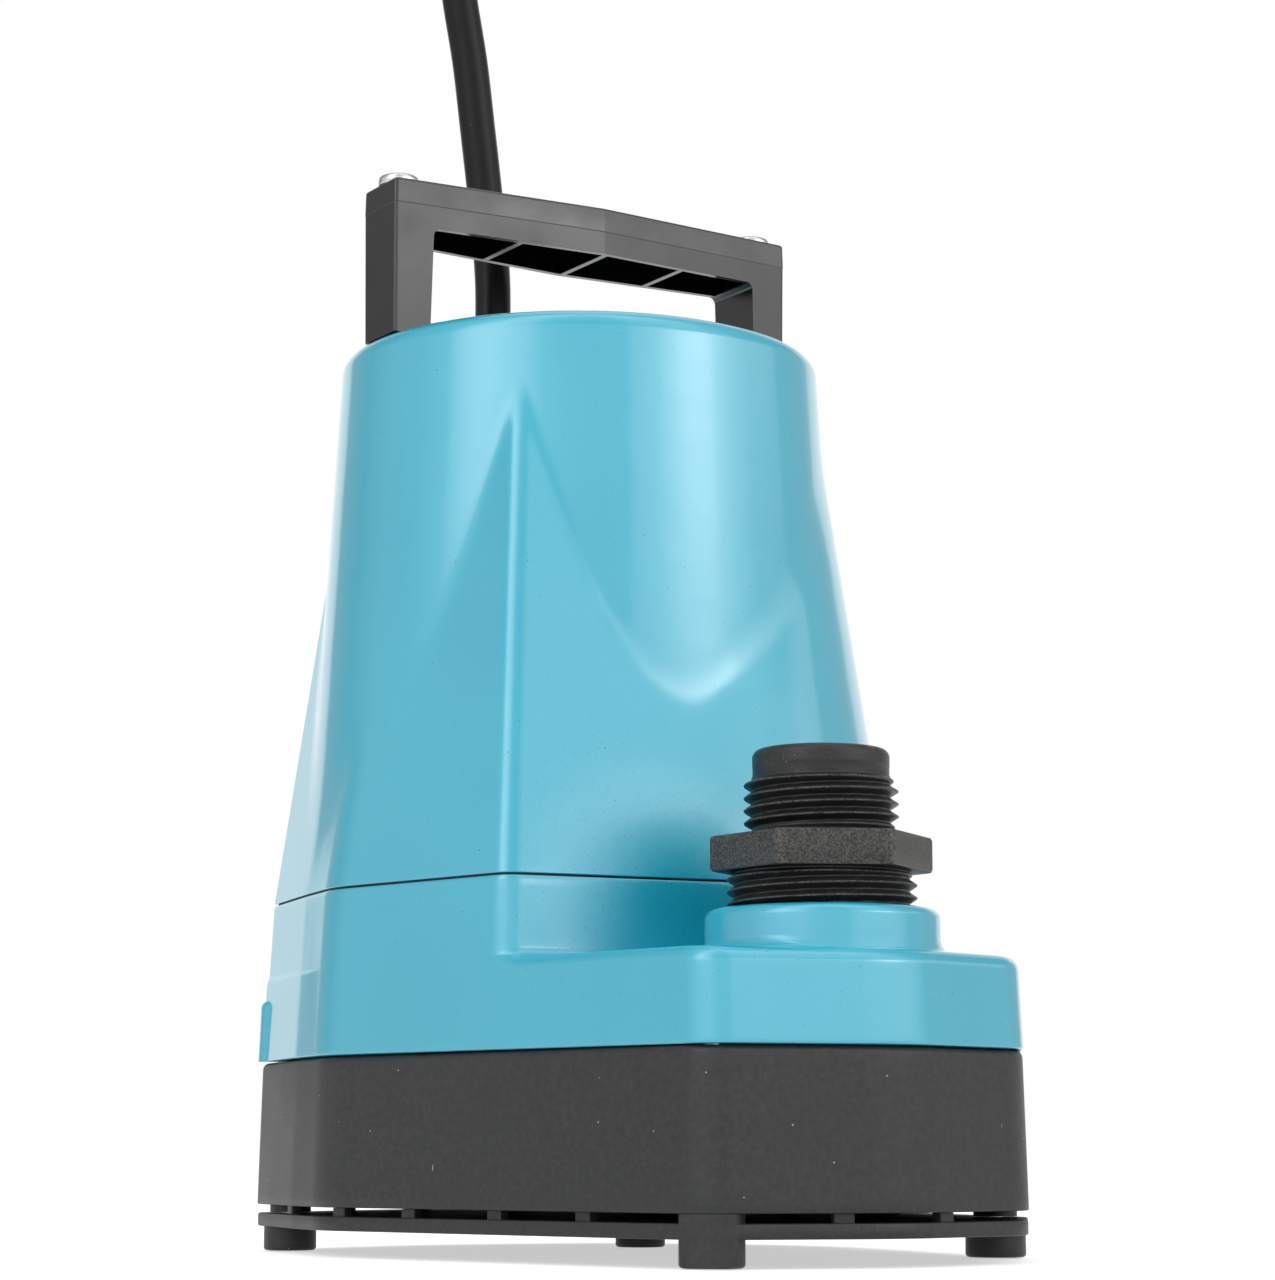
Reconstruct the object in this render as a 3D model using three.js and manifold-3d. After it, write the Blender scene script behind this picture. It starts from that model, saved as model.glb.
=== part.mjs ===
// Submersible utility pump: a drafted aluminium motor housing on a moulded plastic volute with an all-round
// intake slit, a carrying handle, a hose adapter and a mains cord wound into a coil beside it.
// Millimetres, +Z up, +X towards the discharge. Everything is drawn about the motor axis, and the finished
// group is moved so that its origin is the middle of the pump's footprint, on the floor.

import * as THREE from "three";
import { mergeVertices } from "three/addons/utils/BufferGeometryUtils.js";
import Module from "manifold-3d";

const wasm = await Module();
wasm.setup();

// ---------------------------------------------------------------- driving dimensions

const GAP = 0.3; // left between pieces that touch
const SEAM = 0.1; // left between flat faces that are stacked on one another

// Heights above the floor.
const PLATE_BOTTOM = 4.6;
const PLATE_TOP = 7.2;
const SLIT_TOP = 8.8;
const VOLUTE_FLOOR = 13.2;
const CHAMBER_FLOOR = 16;
const VOLUTE_TOP = 36.2;
const FLANGE_BOTTOM = 36.4;
const LEDGE = 52.6;
const BOSS_TOP = 60.2;
const GASKET_BOTTOM = 67.1;
const GASKET_TOP = 67.6;
const HOUSING_TOP = 176;
const HANDLE_TOP = 207.1;

// Outlines are belts round discs, counter-clockwise: x, y, radius and the number of steps on the arc. The
// footprint has a flat front wall, a near corner, a short end and a back corner, and lobes on the far side.
const FOOTPRINT = [
  { x: -1, y: -32.5, r: 26.25, steps: 4 },
  { x: 85.6, y: -49.75, r: 9, steps: 4 },
  { x: 103.2, y: -27.6, r: 5.6, steps: 3 },
  { x: 94, y: -2, r: 14, steps: 3 },
  { x: 83.4, y: 24.8, r: 5.7, steps: 3 },
  { x: 3.5, y: 4, r: 58.5, steps: 7 },
  { x: -36, y: 42, r: 7.3, steps: 4 },
  { x: 0, y: 0, r: 56.7, steps: 5 },
  { x: -44.5, y: -34, r: 6.9, steps: 4 },
];
const VOLUTE_DRAFT = Math.tan(rad(1.4));
const FLANGE_DRAFT = Math.tan(rad(3.1));

// The flared foot of the motor housing has the same front wall and lobes, and leans inwards until it runs
// into the cone of the housing.
const FLARE_LOW = GASKET_TOP + SEAM;
const FLARE_HIGH = 162;
const FLARE = [
  { low: [-1, -32.5, 25], high: [-1, -16.1, 25], steps: 4 },
  { low: [38, -53, 4.5], high: [23.2, -36.6, 4.5], steps: 4 },
  { low: [3.5, 4, 57.3], high: [5.1, 9.3, 38], steps: 11 },
  { low: [-36, 42, 6], high: [-26, 31, 6], steps: 4 },
  { low: [0, 0, 55.2], high: [0, 0, 43], steps: 5 },
  { low: [-44.4, -34, 5.3], high: [-30.7, -26.4, 6], steps: 4 },
];
const CONE_TOP_RADIUS = 48;
const CONE_TAPER = Math.tan(rad(3.2));
const RIM_FILLET = 3.6;
const CASTING_WALL = 4.5;
const STATOR_BORE = 46;
const UPPER_BORE = 42.5;

// Discharge, hose adapter and their common axis.
const DISCHARGE = { x: 85.5, y: -23.6 };
const BOSS_RADIUS = 20.5;
const PIPE_THREAD_RADIUS = 16.55;
const HOSE_THREAD_RADIUS = 13.5;
const PILOT_RADIUS = 12;
const PILOT_TOP = 88.2;
const ADAPTER_BORE = 9.5;
const HEX_CORNER_RADIUS = 19.6;
const HEX_ROUNDING = 0.6;
const HEX_TURN = -10;

// Motor line.
const TURNED = 20; // sides of the small turned pieces
const SHAFT_RADIUS = 5;
const ROTOR_SHAFT_RADIUS = 7.5;
const BEARING = { outer: 15, height: 9 };
const LOWER_BEARING = 50.3;
const UPPER_BEARING = 158.3;
const STATOR = { low: 92, high: 134, outer: 45.7, bore: 26.6, slots: 12 };
const ROTOR = { low: 91, high: 135, radius: 26 };

// Impeller and the spiral it runs in.
const IMPELLER = { radius: 39, eye: 13, hub: 9, top: 35, shroud: 2.6, low: 17, vanes: 6, vane: 2.4 };
const SPIRAL = { start: 41, end: 50.5, from: rad(-30), to: rad(270), steps: 20 };
const THROAT = [
  { x: 30, y: -38.5, r: 12, steps: 4 },
  { x: 79, y: -33.5, r: 13.5, steps: 4 },
  { x: 86, y: -22, r: 17, steps: 7 },
];
const CHAMBER_WALL = 5.6;
const EYE_RADIUS = 15;

// Handle, in its own frame: length along x, width along y.
const HANDLE = { length: 92, end: 13.4, middle: 19.6, post: 8.4, beam: 9.5, wall: 1.5, rib: 1.3 };
const HANDLE_RIBS = [-18.1, 0.9, 19.9];
const HANDLE_TURN = rad(77);
const SCREW_AT = HANDLE.length / 2 - HANDLE.post / 2;

// Feet: x, y and radius. Three of them stand round screws, and the column over the first closes the slit.
const FEET = [
  { x: 88.3, y: -54.5, r: 5.5 },
  { x: -41.6, y: -37.7, r: 5.1 },
  { x: 83.6, y: 25, r: 5.5 },
  { x: -8.3, y: 25.7, r: 5 },
];

// The posts that hold the intake slit open: their directions from the motor axis, in degrees.
const POSTS = [-92.5, -73.7, -55.4, -42.9, -20.2, -9.5, 36, 54, 72, 90, 108, 150, 172, 194, 239.5];
const POST = { width: 3.6, depth: 2, inset: 1.6 };

// Screws that hold plate, volute and lower housing together, and those that join the two castings.
const BASE_SCREWS = [
  [88.3, -54.3],
  [-41.6, -37.7],
  [83.6, 25],
  [-28, 49],
  [31, 50],
];
const HOUSING_SCREWS = [
  [41.5, 34.6],
  [-34.3, 40.6],
  [-44.7, -25.8],
  [35.2, -49.2],
];

// Cord: a 7.4 mm three-core lead that rises from its strain relief, arches over and is coiled on the floor.
const CORD = 7.4;
const CORD_SIDES = 8;
const CORD_EXIT = new THREE.Vector3(-24, -2, 191);
const RELIEF = { low: 170.6, flange: 9, root: 6.6, tip: 4.7 };
const COIL = { x: 228, y: 7.6, inner: 33, pitch: 8, layers: 4, turns: 2.25, low: 5, steps: 24, sides: 6 };
const COIL_START = Math.PI / 2;
const COIL_OUTER = COIL.inner + COIL.pitch * COIL.turns;
const COIL_TOP = COIL.low + COIL.pitch * (COIL.layers - 1);
const TIE_TURN = rad(300);
const LANDING = COIL.y + COIL_OUTER;
const BEND = 31; // radius in which the lead turns from falling to lying
const FALL = COIL.x - 72; // where it falls
const LEAD = [
  [-24, -2, CORD_EXIT.z + GAP],
  [-24, -2.2, 199],
  [-24.3, -4, 215],
  [-24.7, -6, 230],
  [-25.2, -8, 245],
  [-25.8, -10.6, 259],
  [-26, -12.2, 271],
  [-25, -12.5, 285],
  [-21, -11, 300],
  [-12, -8, 314],
  [1, -3.5, 325],
  [17, 1.5, 332],
  [35, 7, 335],
  [53, 12.5, 333],
  [71, 18, 327],
  [88, 24, 317],
  [104, 30, 303],
  [118, 36, 286],
  [130, 41.5, 266],
  [139, 46.5, 243],
  [146, 50.5, 219],
  [151, 54, 193],
  [154.2, 56.6, 166],
  [155.8, 58.2, 138],
  [FALL, LANDING, 110],
  [FALL, LANDING, COIL_TOP + BEND + 20],
  ...[0, 30, 60, 90].map((degrees) => [
    FALL + BEND * (1 - Math.cos(rad(degrees))),
    LANDING,
    COIL_TOP + BEND * (1 - Math.sin(rad(degrees))),
  ]),
  [COIL.x - CORD - 4, LANDING, COIL_TOP],
  [COIL.x - CORD - GAP, LANDING, COIL_TOP],
];
const PLUG = { length: 47, half: 12.8, bladeRow: -4.6 };
const TAIL_END = new THREE.Vector3(COIL.x + 70, COIL.y + 14, PLUG.half);
const TAIL_BEND = 30;
const TAIL = [
  [COIL.x + 20, LANDING, 5.2],
  [COIL.x + 32, LANDING - 0.3, 6],
  ...[70, 50, 30, 12].map((degrees) => [
    TAIL_END.x - TAIL_BEND * (1 - Math.cos(rad(degrees))),
    LANDING - TAIL_BEND * (1 - Math.sin(rad(degrees))),
    PLUG.half - (6 * degrees) / 80,
  ]),
  [TAIL_END.x, COIL.y + 20, PLUG.half],
];

// ---------------------------------------------------------------- shape helpers

function rad(degrees) {
  return (degrees * Math.PI) / 180;
}

function at(x, y, z) {
  return new THREE.Matrix4().makeTranslation(x, y, z);
}

// A manifold solid from a closed geometry, turned right side out.
function solidOf(geometry, placed = new THREE.Matrix4()) {
  const bare = new THREE.BufferGeometry();
  bare.setAttribute("position", geometry.getAttribute("position").clone());
  bare.setIndex(geometry.index);
  const merged = mergeVertices(bare.applyMatrix4(placed), 1e-4);
  const all = merged.index.array;
  const corners = [];
  for (let i = 0; i < all.length; i += 3) {
    const [a, b, c] = all.slice(i, i + 3);
    if (a !== b && b !== c && c !== a) corners.push(a, b, c);
  }
  const make = (list) =>
    new wasm.Manifold(
      new wasm.Mesh({
        numProp: 3,
        vertProperties: merged.attributes.position.array,
        triVerts: new Uint32Array(list),
      }),
    );
  const made = make(corners);
  return made.volume() < 0 ? make(corners.reverse()) : made;
}

function geometryOf(solid) {
  const { vertProperties, triVerts } = solid.getMesh();
  const shared = new THREE.BufferGeometry();
  shared.setAttribute("position", new THREE.BufferAttribute(vertProperties, 3));
  shared.setIndex(new THREE.BufferAttribute(triVerts, 1));
  const flat = shared.toNonIndexed();
  flat.computeVertexNormals();
  return flat;
}

const union = (solids) => solids.reduce((all, next) => all.add(next));
const cut = (solid, tools) => tools.reduce((left, tool) => left.subtract(tool), solid);

// A straight prism from an outline of points, between two heights.
function prism(points, low, high) {
  const shape = new THREE.Shape(points);
  const made = new THREE.ExtrudeGeometry(shape, { depth: high - low, bevelEnabled: false });
  return solidOf(made, at(0, 0, low));
}

// A body of revolution about an upright axis through x, y, from a closed profile of [radius, height].
function turned(profile, segments = 24, x = 0, y = 0) {
  const points = profile.map(([r, z]) => new THREE.Vector2(r, z));
  points.push(points[0].clone());
  const made = new THREE.LatheGeometry(points, segments).rotateX(Math.PI / 2);
  return solidOf(made, at(x, y, 0));
}

function rod(radius, low, high, x = 0, y = 0, segments = 16) {
  return turned([[0, low], [radius, low], [radius, high], [0, high]], segments, x, y);
}

function ring(outer, inner, low, high, x = 0, y = 0, segments = 24) {
  return turned([[inner, low], [outer, low], [outer, high], [inner, high]], segments, x, y);
}

function box(width, depth, low, high, x = 0, y = 0, turn = 0) {
  const made = new THREE.BoxGeometry(width, depth, high - low).rotateZ(turn);
  return solidOf(made, at(x, y, (low + high) / 2));
}

// Points of a quarter round in a profile, from one angle to another in degrees.
function round(r, z, radius, from, to, steps = 4) {
  const points = [];
  for (let i = 0; i <= steps; i += 1) {
    const angle = rad(from + ((to - from) * i) / steps);
    points.push([r + radius * Math.cos(angle), z + radius * Math.sin(angle)]);
  }
  return points;
}

// The outline of a belt round discs that are listed counter-clockwise, grown outwards by an amount.
function belt(discs, grow = 0) {
  const normal = (a, b) => {
    const along = Math.atan2(b.y - a.y, b.x - a.x);
    return along - Math.PI / 2 + Math.asin((a.r - b.r) / Math.hypot(b.x - a.x, b.y - a.y));
  };
  return discs.flatMap((disc, i) => {
    const before = discs[(i + discs.length - 1) % discs.length];
    const after = discs[(i + 1) % discs.length];
    const from = normal(before, disc);
    const sweep = THREE.MathUtils.euclideanModulo(normal(disc, after) - from, 2 * Math.PI);
    return Array.from({ length: disc.steps + 1 }, (_, k) => {
      const angle = from + (sweep * k) / disc.steps;
      const r = disc.r + grow;
      return new THREE.Vector2(disc.x + r * Math.cos(angle), disc.y + r * Math.sin(angle));
    });
  });
}

// A solid through outlines with equal numbers of points, each at its own height.
function loft(levels) {
  const count = levels[0].points.length;
  const positions = levels.flatMap(({ points, z }) => points.flatMap((p) => [p.x, p.y, z]));
  const index = [];
  for (let level = 0; level + 1 < levels.length; level += 1) {
    for (let i = 0; i < count; i += 1) {
      const a = level * count + i;
      const b = level * count + ((i + 1) % count);
      index.push(a, b, b + count, a, b + count, a + count);
    }
  }
  const top = (levels.length - 1) * count;
  for (const [a, b, c] of THREE.ShapeUtils.triangulateShape(levels[0].points, [])) {
    index.push(c, b, a);
    index.push(top + a, top + b, top + c);
  }
  const made = new THREE.BufferGeometry();
  made.setAttribute("position", new THREE.Float32BufferAttribute(positions, 3));
  made.setIndex(index);
  return solidOf(made);
}

// A belt with one amount of growth at each height, given as [height, growth].
function drafted(discs, levels) {
  return loft(levels.map(([z, grow]) => ({ z, points: belt(discs, grow) })));
}

// ---------------------------------------------------------------- finishes

const FINISHES = {
  blue: { color: 0x5fb9d0, roughness: 0.28, metalness: 0 },
  black: { color: 0x2a2b2d, roughness: 0.55, metalness: 0 },
  volute: { color: 0x35373a, roughness: 0.7, metalness: 0 },
  rubber: { color: 0x1b1b1c, roughness: 0.65, metalness: 0 },
  cord: { color: 0x1a1b1d, roughness: 0.45, metalness: 0 },
  steel: { color: 0xb9bcc0, roughness: 0.25, metalness: 1 },
  brass: { color: 0xc9a35a, roughness: 0.3, metalness: 1 },
  copper: { color: 0xa8613a, roughness: 0.4, metalness: 1 },
  laminate: { color: 0x6f7275, roughness: 0.5, metalness: 1 },
  ceramic: { color: 0xe4e0d6, roughness: 0.4, metalness: 0 },
};

function piece(name, solid, finish) {
  const mesh = new THREE.Mesh(geometryOf(solid), new THREE.MeshStandardMaterial(FINISHES[finish]));
  mesh.name = name;
  return mesh;
}

// ---------------------------------------------------------------- castings

// The outline of the flare as it is at one height, placed at that height or at another one.
function flareLevel(height, grow = 0, z = height) {
  const share = (height - FLARE_LOW) / (FLARE_HIGH - FLARE_LOW);
  const discs = FLARE.map(({ low, high, steps }) => {
    const [x, y, r] = low.map((value, i) => THREE.MathUtils.lerp(value, high[i], share));
    return { x, y, r, steps };
  });
  return { z, points: belt(discs, grow) };
}

function housingBosses(low, high) {
  return HOUSING_SCREWS.map(([x, y]) => rod(5, low, high, x, y, 10));
}

function housingHoles(radius, low, high) {
  return HOUSING_SCREWS.map(([x, y]) => rod(radius, low, high, x, y, 8));
}

function handleScrewPlaces() {
  return [-1, 1].map((side) => {
    const along = new THREE.Vector2(side * SCREW_AT, 0);
    return along.rotateAround(new THREE.Vector2(), HANDLE_TURN);
  });
}

// The upper casting: a steep cone with a filleted rim, joined to the flare of its foot, and bored for the
// stator below and the bearing above.
function upperHousing() {
  const low = FLARE_LOW;
  const lowRadius = CONE_TOP_RADIUS + (HOUSING_TOP - low) * CONE_TAPER;
  const cone = turned(
    [
      [0, low],
      [lowRadius, low],
      ...round(CONE_TOP_RADIUS - RIM_FILLET, HOUSING_TOP - RIM_FILLET, RIM_FILLET, 3.2, 90, 4),
      [0, HOUSING_TOP],
    ],
    48,
  );
  const flare = loft([flareLevel(FLARE_LOW), flareLevel(FLARE_HIGH)]);
  const skirt = loft([flareLevel(low - 1, -CASTING_WALL), flareLevel(88, -CASTING_WALL)]);
  const bores = [
    skirt.subtract(union(housingBosses(low, 89))),
    rod(STATOR_BORE, low - 1, 142, 0, 0, 32),
    ring(UPPER_BORE, 20, 141, 169.5, 0, 0, 28),
    rod(20.5, 141, 157, 0, 0, 28),
    rod(BEARING.outer + 0.15, 156, UPPER_BEARING + BEARING.height + 0.6, 0, 0, 24),
    ...housingHoles(2.1, low - 1, 86),
    ...handleScrewPlaces().map((p) => rod(2.15, 162, HOUSING_TOP + 1, p.x, p.y, 8)),
    rod(RELIEF.root + GAP, 160, HOUSING_TOP + 1, CORD_EXIT.x, CORD_EXIT.y, 16),
  ];
  const bosses = handleScrewPlaces().map((p) => rod(4.4, 160, 171, p.x, p.y, 10));
  const [skirtBore, statorBore, upperBore, ...holes] = bores;
  const shell = cut(cone.add(flare), [skirtBore, statorBore, upperBore]).add(union(bosses));
  return piece("upper_housing", cut(shell, holes), "blue");
}

function housingGasket() {
  const sheetOf = (grow, low, high) =>
    loft([flareLevel(FLARE_LOW, grow, low), flareLevel(FLARE_LOW, grow, high)]);
  const outer = sheetOf(-0.5, GASKET_BOTTOM, GASKET_TOP);
  const inner = sheetOf(-CASTING_WALL, GASKET_BOTTOM - 1, GASKET_TOP + 1);
  const bosses = union(housingBosses(GASKET_BOTTOM, GASKET_TOP));
  const sheet = outer.subtract(inner).add(bosses.intersect(outer));
  return piece("housing_gasket", cut(sheet, housingHoles(2.3, GASKET_BOTTOM - 1, GASKET_TOP + 1)), "rubber");
}

function dischargeBoss() {
  const profile = [
    [0, LEDGE - 6],
    [BOSS_RADIUS + 2, LEDGE - 6],
    ...round(BOSS_RADIUS + 2, LEDGE + 2, 2, 270, 180, 3),
    ...round(BOSS_RADIUS - 1.8, BOSS_TOP - 1.8, 1.8, 0, 90, 3),
    [0, BOSS_TOP],
  ];
  return turned(profile, 30, DISCHARGE.x, DISCHARGE.y);
}

// The lower casting: the foot of the flare, the filleted flange over the volute, the threaded discharge
// boss, and the hub that holds the lower bearing and the shaft seal.
function lowerHousing() {
  const top = GASKET_BOTTOM - SEAM;
  const drop = (top - FLANGE_BOTTOM - 1) * FLANGE_DRAFT;
  const wall = loft([flareLevel(FLARE_LOW, drop, FLANGE_BOTTOM + 1), flareLevel(FLARE_LOW, 0, top)]);
  const flange = drafted(FOOTPRINT, [
    [FLANGE_BOTTOM, 0.4],
    [LEDGE - 2.4, 0.4 - (LEDGE - 2.4 - FLANGE_BOTTOM) * FLANGE_DRAFT],
    [LEDGE - 1.2, -0.6],
    [LEDGE - 0.3, -1.4],
    [LEDGE, -2.6],
  ]);
  const lug = turned(
    [
      [0, FLANGE_BOTTOM],
      [5, FLANGE_BOTTOM],
      [4.6, 47.5],
      [3.2, 49.3],
      [0, 49.3],
    ],
    12,
    -45.4,
    -37,
  );
  const pit = loft([
    flareLevel(FLARE_LOW, -CASTING_WALL, 44),
    flareLevel(FLARE_LOW, -CASTING_WALL, top + 1),
  ]).subtract(union(housingBosses(40, top + 2)));
  const hub = ring(19, 5.8, 43, 60, 0, 0, TURNED);
  const tools = [
    rod(BEARING.outer + 0.15, LOWER_BEARING - 0.3, 61, 0, 0, 24),
    rod(12.5, FLANGE_BOTTOM - 1, 47, 0, 0, 24),
    rod(5.8, FLANGE_BOTTOM - 1, 61, 0, 0, 16),
    rod(PIPE_THREAD_RADIUS + GAP, 45, BOSS_TOP + 1, DISCHARGE.x, DISCHARGE.y, 28),
    rod(15.6, FLANGE_BOTTOM - 1, 46, DISCHARGE.x, DISCHARGE.y, 24),
    ...housingHoles(2.3, FLANGE_BOTTOM - 1, top + 1),
    ...housingHoles(4.2, FLANGE_BOTTOM - 1, 41),
    ...BASE_SCREWS.map(([x, y]) => rod(1.95, FLANGE_BOTTOM - 1, 47, x, y, 8)),
  ];
  const solid = union([wall, flange, lug, dischargeBoss()]).subtract(pit).add(hub);
  return piece("lower_housing", cut(solid, tools), "blue");
}

// ---------------------------------------------------------------- volute and intake

// The water passage seen from above: the impeller's circle, a spiral that widens steadily round it, and the
// throat that leads along the front wall to the discharge. The wall's outline is the same, grown.
function passage(grow, low, high) {
  const { start, end, from, to, steps } = SPIRAL;
  const points = [new THREE.Vector2()];
  for (let i = 0; i <= steps; i += 1) {
    const angle = from + ((to - from) * i) / steps;
    const r = start + ((end - start) * i) / steps + grow;
    points.push(new THREE.Vector2(r * Math.cos(angle), r * Math.sin(angle)));
  }
  const [throat] = THROAT;
  points.push(new THREE.Vector2(throat.x, throat.y - throat.r - grow));
  const circle = rod(start + grow, low, high, 0, 0, 28);
  return union([circle, prism(points, low, high), prism(belt(THROAT, grow), low, high)]);
}

function footprintSlab(grow, low, high) {
  return drafted(FOOTPRINT, [
    [low, grow],
    [high, grow],
  ]);
}

function voluteGrowth(z) {
  return (VOLUTE_TOP - z) * VOLUTE_DRAFT;
}

function baseColumns(low, high) {
  return BASE_SCREWS.map(([x, y]) => rod(4, low, high, x, y, 10));
}

function baseHoles(radius, low, high) {
  return BASE_SCREWS.map(([x, y]) => rod(radius, low, high, x, y, 8));
}

function volute() {
  const block = drafted(FOOTPRINT, [
    [SLIT_TOP, voluteGrowth(SLIT_TOP)],
    [VOLUTE_TOP - 0.8, 0],
    [VOLUTE_TOP, -0.5],
  ]);
  const pockets = cut(footprintSlab(-3.2, CHAMBER_FLOOR, VOLUTE_TOP + 1), [
    passage(CHAMBER_WALL, CHAMBER_FLOOR - 1, VOLUTE_TOP + 2),
    ...BASE_SCREWS.map(([x, y]) => rod(4.4, CHAMBER_FLOOR - 1, VOLUTE_TOP + 2, x, y, 10)),
  ]);
  const plenum = footprintSlab(-3, SLIT_TOP - 1, VOLUTE_FLOOR).subtract(union(baseColumns(0, 20)));
  const groove = passage(3.9, VOLUTE_TOP - 2, VOLUTE_TOP + 1).subtract(
    passage(1.7, VOLUTE_TOP - 3, VOLUTE_TOP + 2),
  );
  const eye = turned(
    [
      [0, VOLUTE_FLOOR - 1],
      [EYE_RADIUS + 1.6, VOLUTE_FLOOR - 1],
      [EYE_RADIUS + 1.6, VOLUTE_FLOOR],
      [EYE_RADIUS, VOLUTE_FLOOR + 1.6],
      [EYE_RADIUS, CHAMBER_FLOOR + 1],
      [0, CHAMBER_FLOOR + 1],
    ],
    24,
  );
  const solid = cut(block, [pockets, plenum]).add(
    union(baseColumns(PLATE_TOP + SEAM, SLIT_TOP + 1)).intersect(footprintSlab(-0.4, 0, 30)),
  );
  const water = passage(0, CHAMBER_FLOOR, VOLUTE_TOP + 1);
  const tools = [water, groove, eye, ...baseHoles(2.2, 0, VOLUTE_TOP + 1)];
  return piece("volute", cut(solid, tools), "volute");
}

function voluteSeal() {
  const low = VOLUTE_TOP - 1.8;
  const high = FLANGE_BOTTOM - SEAM;
  const solid = passage(3.5, low, high).subtract(passage(2.1, low - 1, high + 1));
  return piece("volute_seal", solid, "rubber");
}

// A point on the footprint's outline, moved in by an amount, in a direction from the motor axis; and the
// direction of the outline there.
function outlineAt(degrees, inset) {
  const way = new THREE.Vector2(Math.cos(rad(degrees)), Math.sin(rad(degrees)));
  const points = belt(FOOTPRINT, -inset);
  const next = (i) => points[(i + 1) % points.length];
  const i = points.findIndex((p, k) => way.cross(p) <= 0 && way.cross(next(k)) > 0 && p.dot(way) > 0);
  const edge = next(i).clone().sub(points[i]);
  const point = way.clone().multiplyScalar(points[i].cross(edge) / way.cross(edge));
  return { point, turn: edge.angle() };
}

// The bottom plate, with the small posts that hold the slit open and the feet under it.
function intakePlate() {
  const edge = voluteGrowth(PLATE_TOP) - 0.2;
  const slab = drafted(FOOTPRINT, [
    [PLATE_BOTTOM, edge - 0.3],
    [PLATE_BOTTOM + 0.5, edge],
    [PLATE_TOP - 0.4, edge],
    [PLATE_TOP, edge - 0.4],
  ]);
  const postTop = SLIT_TOP - SEAM;
  const posts = POSTS.map((degrees) => {
    const { point, turn } = outlineAt(degrees, POST.inset);
    return box(POST.width, POST.depth, PLATE_TOP - 1, postTop, point.x, point.y, turn);
  });
  const feet = FEET.map(({ x, y, r }, i) => {
    const high = i === 0 ? postTop : PLATE_BOTTOM + 1;
    return turned([[0, 0], [r - 0.5, 0], [r, 0.5], [r, high], [0, high]], 16, x, y);
  });
  const trimmed = union(feet).intersect(footprintSlab(edge, -1, postTop + 1));
  const holes = [
    ...baseHoles(2.2, -1, 12),
    ...baseHoles(3.4, -1, PLATE_BOTTOM + 0.6),
    ...baseHoles(4.4, PLATE_TOP, 12),
  ];
  return piece("intake_plate", cut(union([slab, ...posts, trimmed]), holes), "volute");
}

// ---------------------------------------------------------------- handle and hose adapter

// The handle is bent a little at its middle, so it is widest there. Its beam is an open channel underneath,
// with three ribs across, and its posts are solid round their screws.
function handle() {
  const { length, end, middle, post, beam, wall, rib } = HANDLE;
  const low = HOUSING_TOP + SEAM;
  const chamfer = 0.4;
  const plan = (inset) => {
    const [half, e, m] = [length / 2, end / 2 - inset, middle / 2 - inset];
    return [
      [-half, -e + chamfer],
      [-half + chamfer, -e],
      [0, -m],
      [half - chamfer, -e],
      [half, -e + chamfer],
      [half, e - chamfer],
      [half - chamfer, e],
      [0, m],
      [-half + chamfer, e],
      [-half, e - chamfer],
    ].map(([x, y]) => new THREE.Vector2(x, y));
  };
  const block = loft([
    { z: low, points: plan(0) },
    { z: HANDLE_TOP - 0.7, points: plan(0) },
    { z: HANDLE_TOP, points: plan(0.6) },
  ]);
  const gap = length - 2 * post;
  const under = HANDLE_TOP - beam;
  const inside = new THREE.Shape()
    .moveTo(-gap / 2 - 0.5, low - 1)
    .lineTo(gap / 2 + 0.5, low - 1)
    .lineTo(gap / 2, under - 1.5)
    .quadraticCurveTo(gap / 2, under, gap / 2 - 1.5, under)
    .lineTo(-gap / 2 + 1.5, under)
    .quadraticCurveTo(-gap / 2, under, -gap / 2, under - 1.5);
  const across = new THREE.ExtrudeGeometry(inside, { depth: 40, bevelEnabled: false, curveSegments: 3 });
  const fingers = solidOf(across.rotateX(Math.PI / 2), at(0, 20, 0));
  const hollow = prism(plan(wall), under - 1, HANDLE_TOP - wall).intersect(
    box(gap - 2, 40, under - 2, HANDLE_TOP),
  );
  const ribs = HANDLE_RIBS.map((x) => box(rib, 40, under + 0.6, HANDLE_TOP, x, 0));
  const holes = [-1, 1].map((side) => rod(2.4, low - 1, HANDLE_TOP + 1, side * SCREW_AT, 0, 10));
  const mesh = piece("handle", cut(block, [fingers, hollow.subtract(union(ribs)), ...holes]), "black");
  mesh.rotation.z = HANDLE_TURN;
  return mesh;
}

// A pan-head screw that points down, with its head resting at a height.
function panScrew(name, seat, tip, radius, head, height) {
  const solid = turned(
    [
      [0, tip],
      [radius * 0.6, tip],
      [radius, tip + radius],
      [radius, seat + SEAM],
      [head, seat + SEAM],
      [head, seat + height * 0.45],
      [head * 0.8, seat + height * 0.85],
      [head * 0.4, seat + height],
      [0, seat + height],
    ],
    12,
  );
  return piece(name, solid, "steel");
}

function handleScrews() {
  return handleScrewPlaces().map((p, i) => {
    const screw = panScrew(`handle_screw_${i + 1}`, HANDLE_TOP, 163.5, 1.9, 4, 2.5);
    screw.position.set(p.x, p.y, 0);
    return screw;
  });
}

// A screw driven from below: the same form turned upside down.
function screwFromBelow(name, x, y, seat, tip, radius, head) {
  const solid = turned(
    [
      [0, seat - 2.2],
      [head * 0.7, seat - 2.2],
      [head, seat - 1.4],
      [head, seat - SEAM],
      [radius, seat - SEAM],
      [radius, tip - radius],
      [radius * 0.6, tip],
      [0, tip],
    ],
    8,
    x,
    y,
  );
  return piece(name, solid, "steel");
}

function baseScrews() {
  return BASE_SCREWS.map(([x, y], i) =>
    screwFromBelow(`base_screw_${i + 1}`, x, y, PLATE_BOTTOM + 0.5, 46.5, 1.75, 3.1),
  );
}

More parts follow.
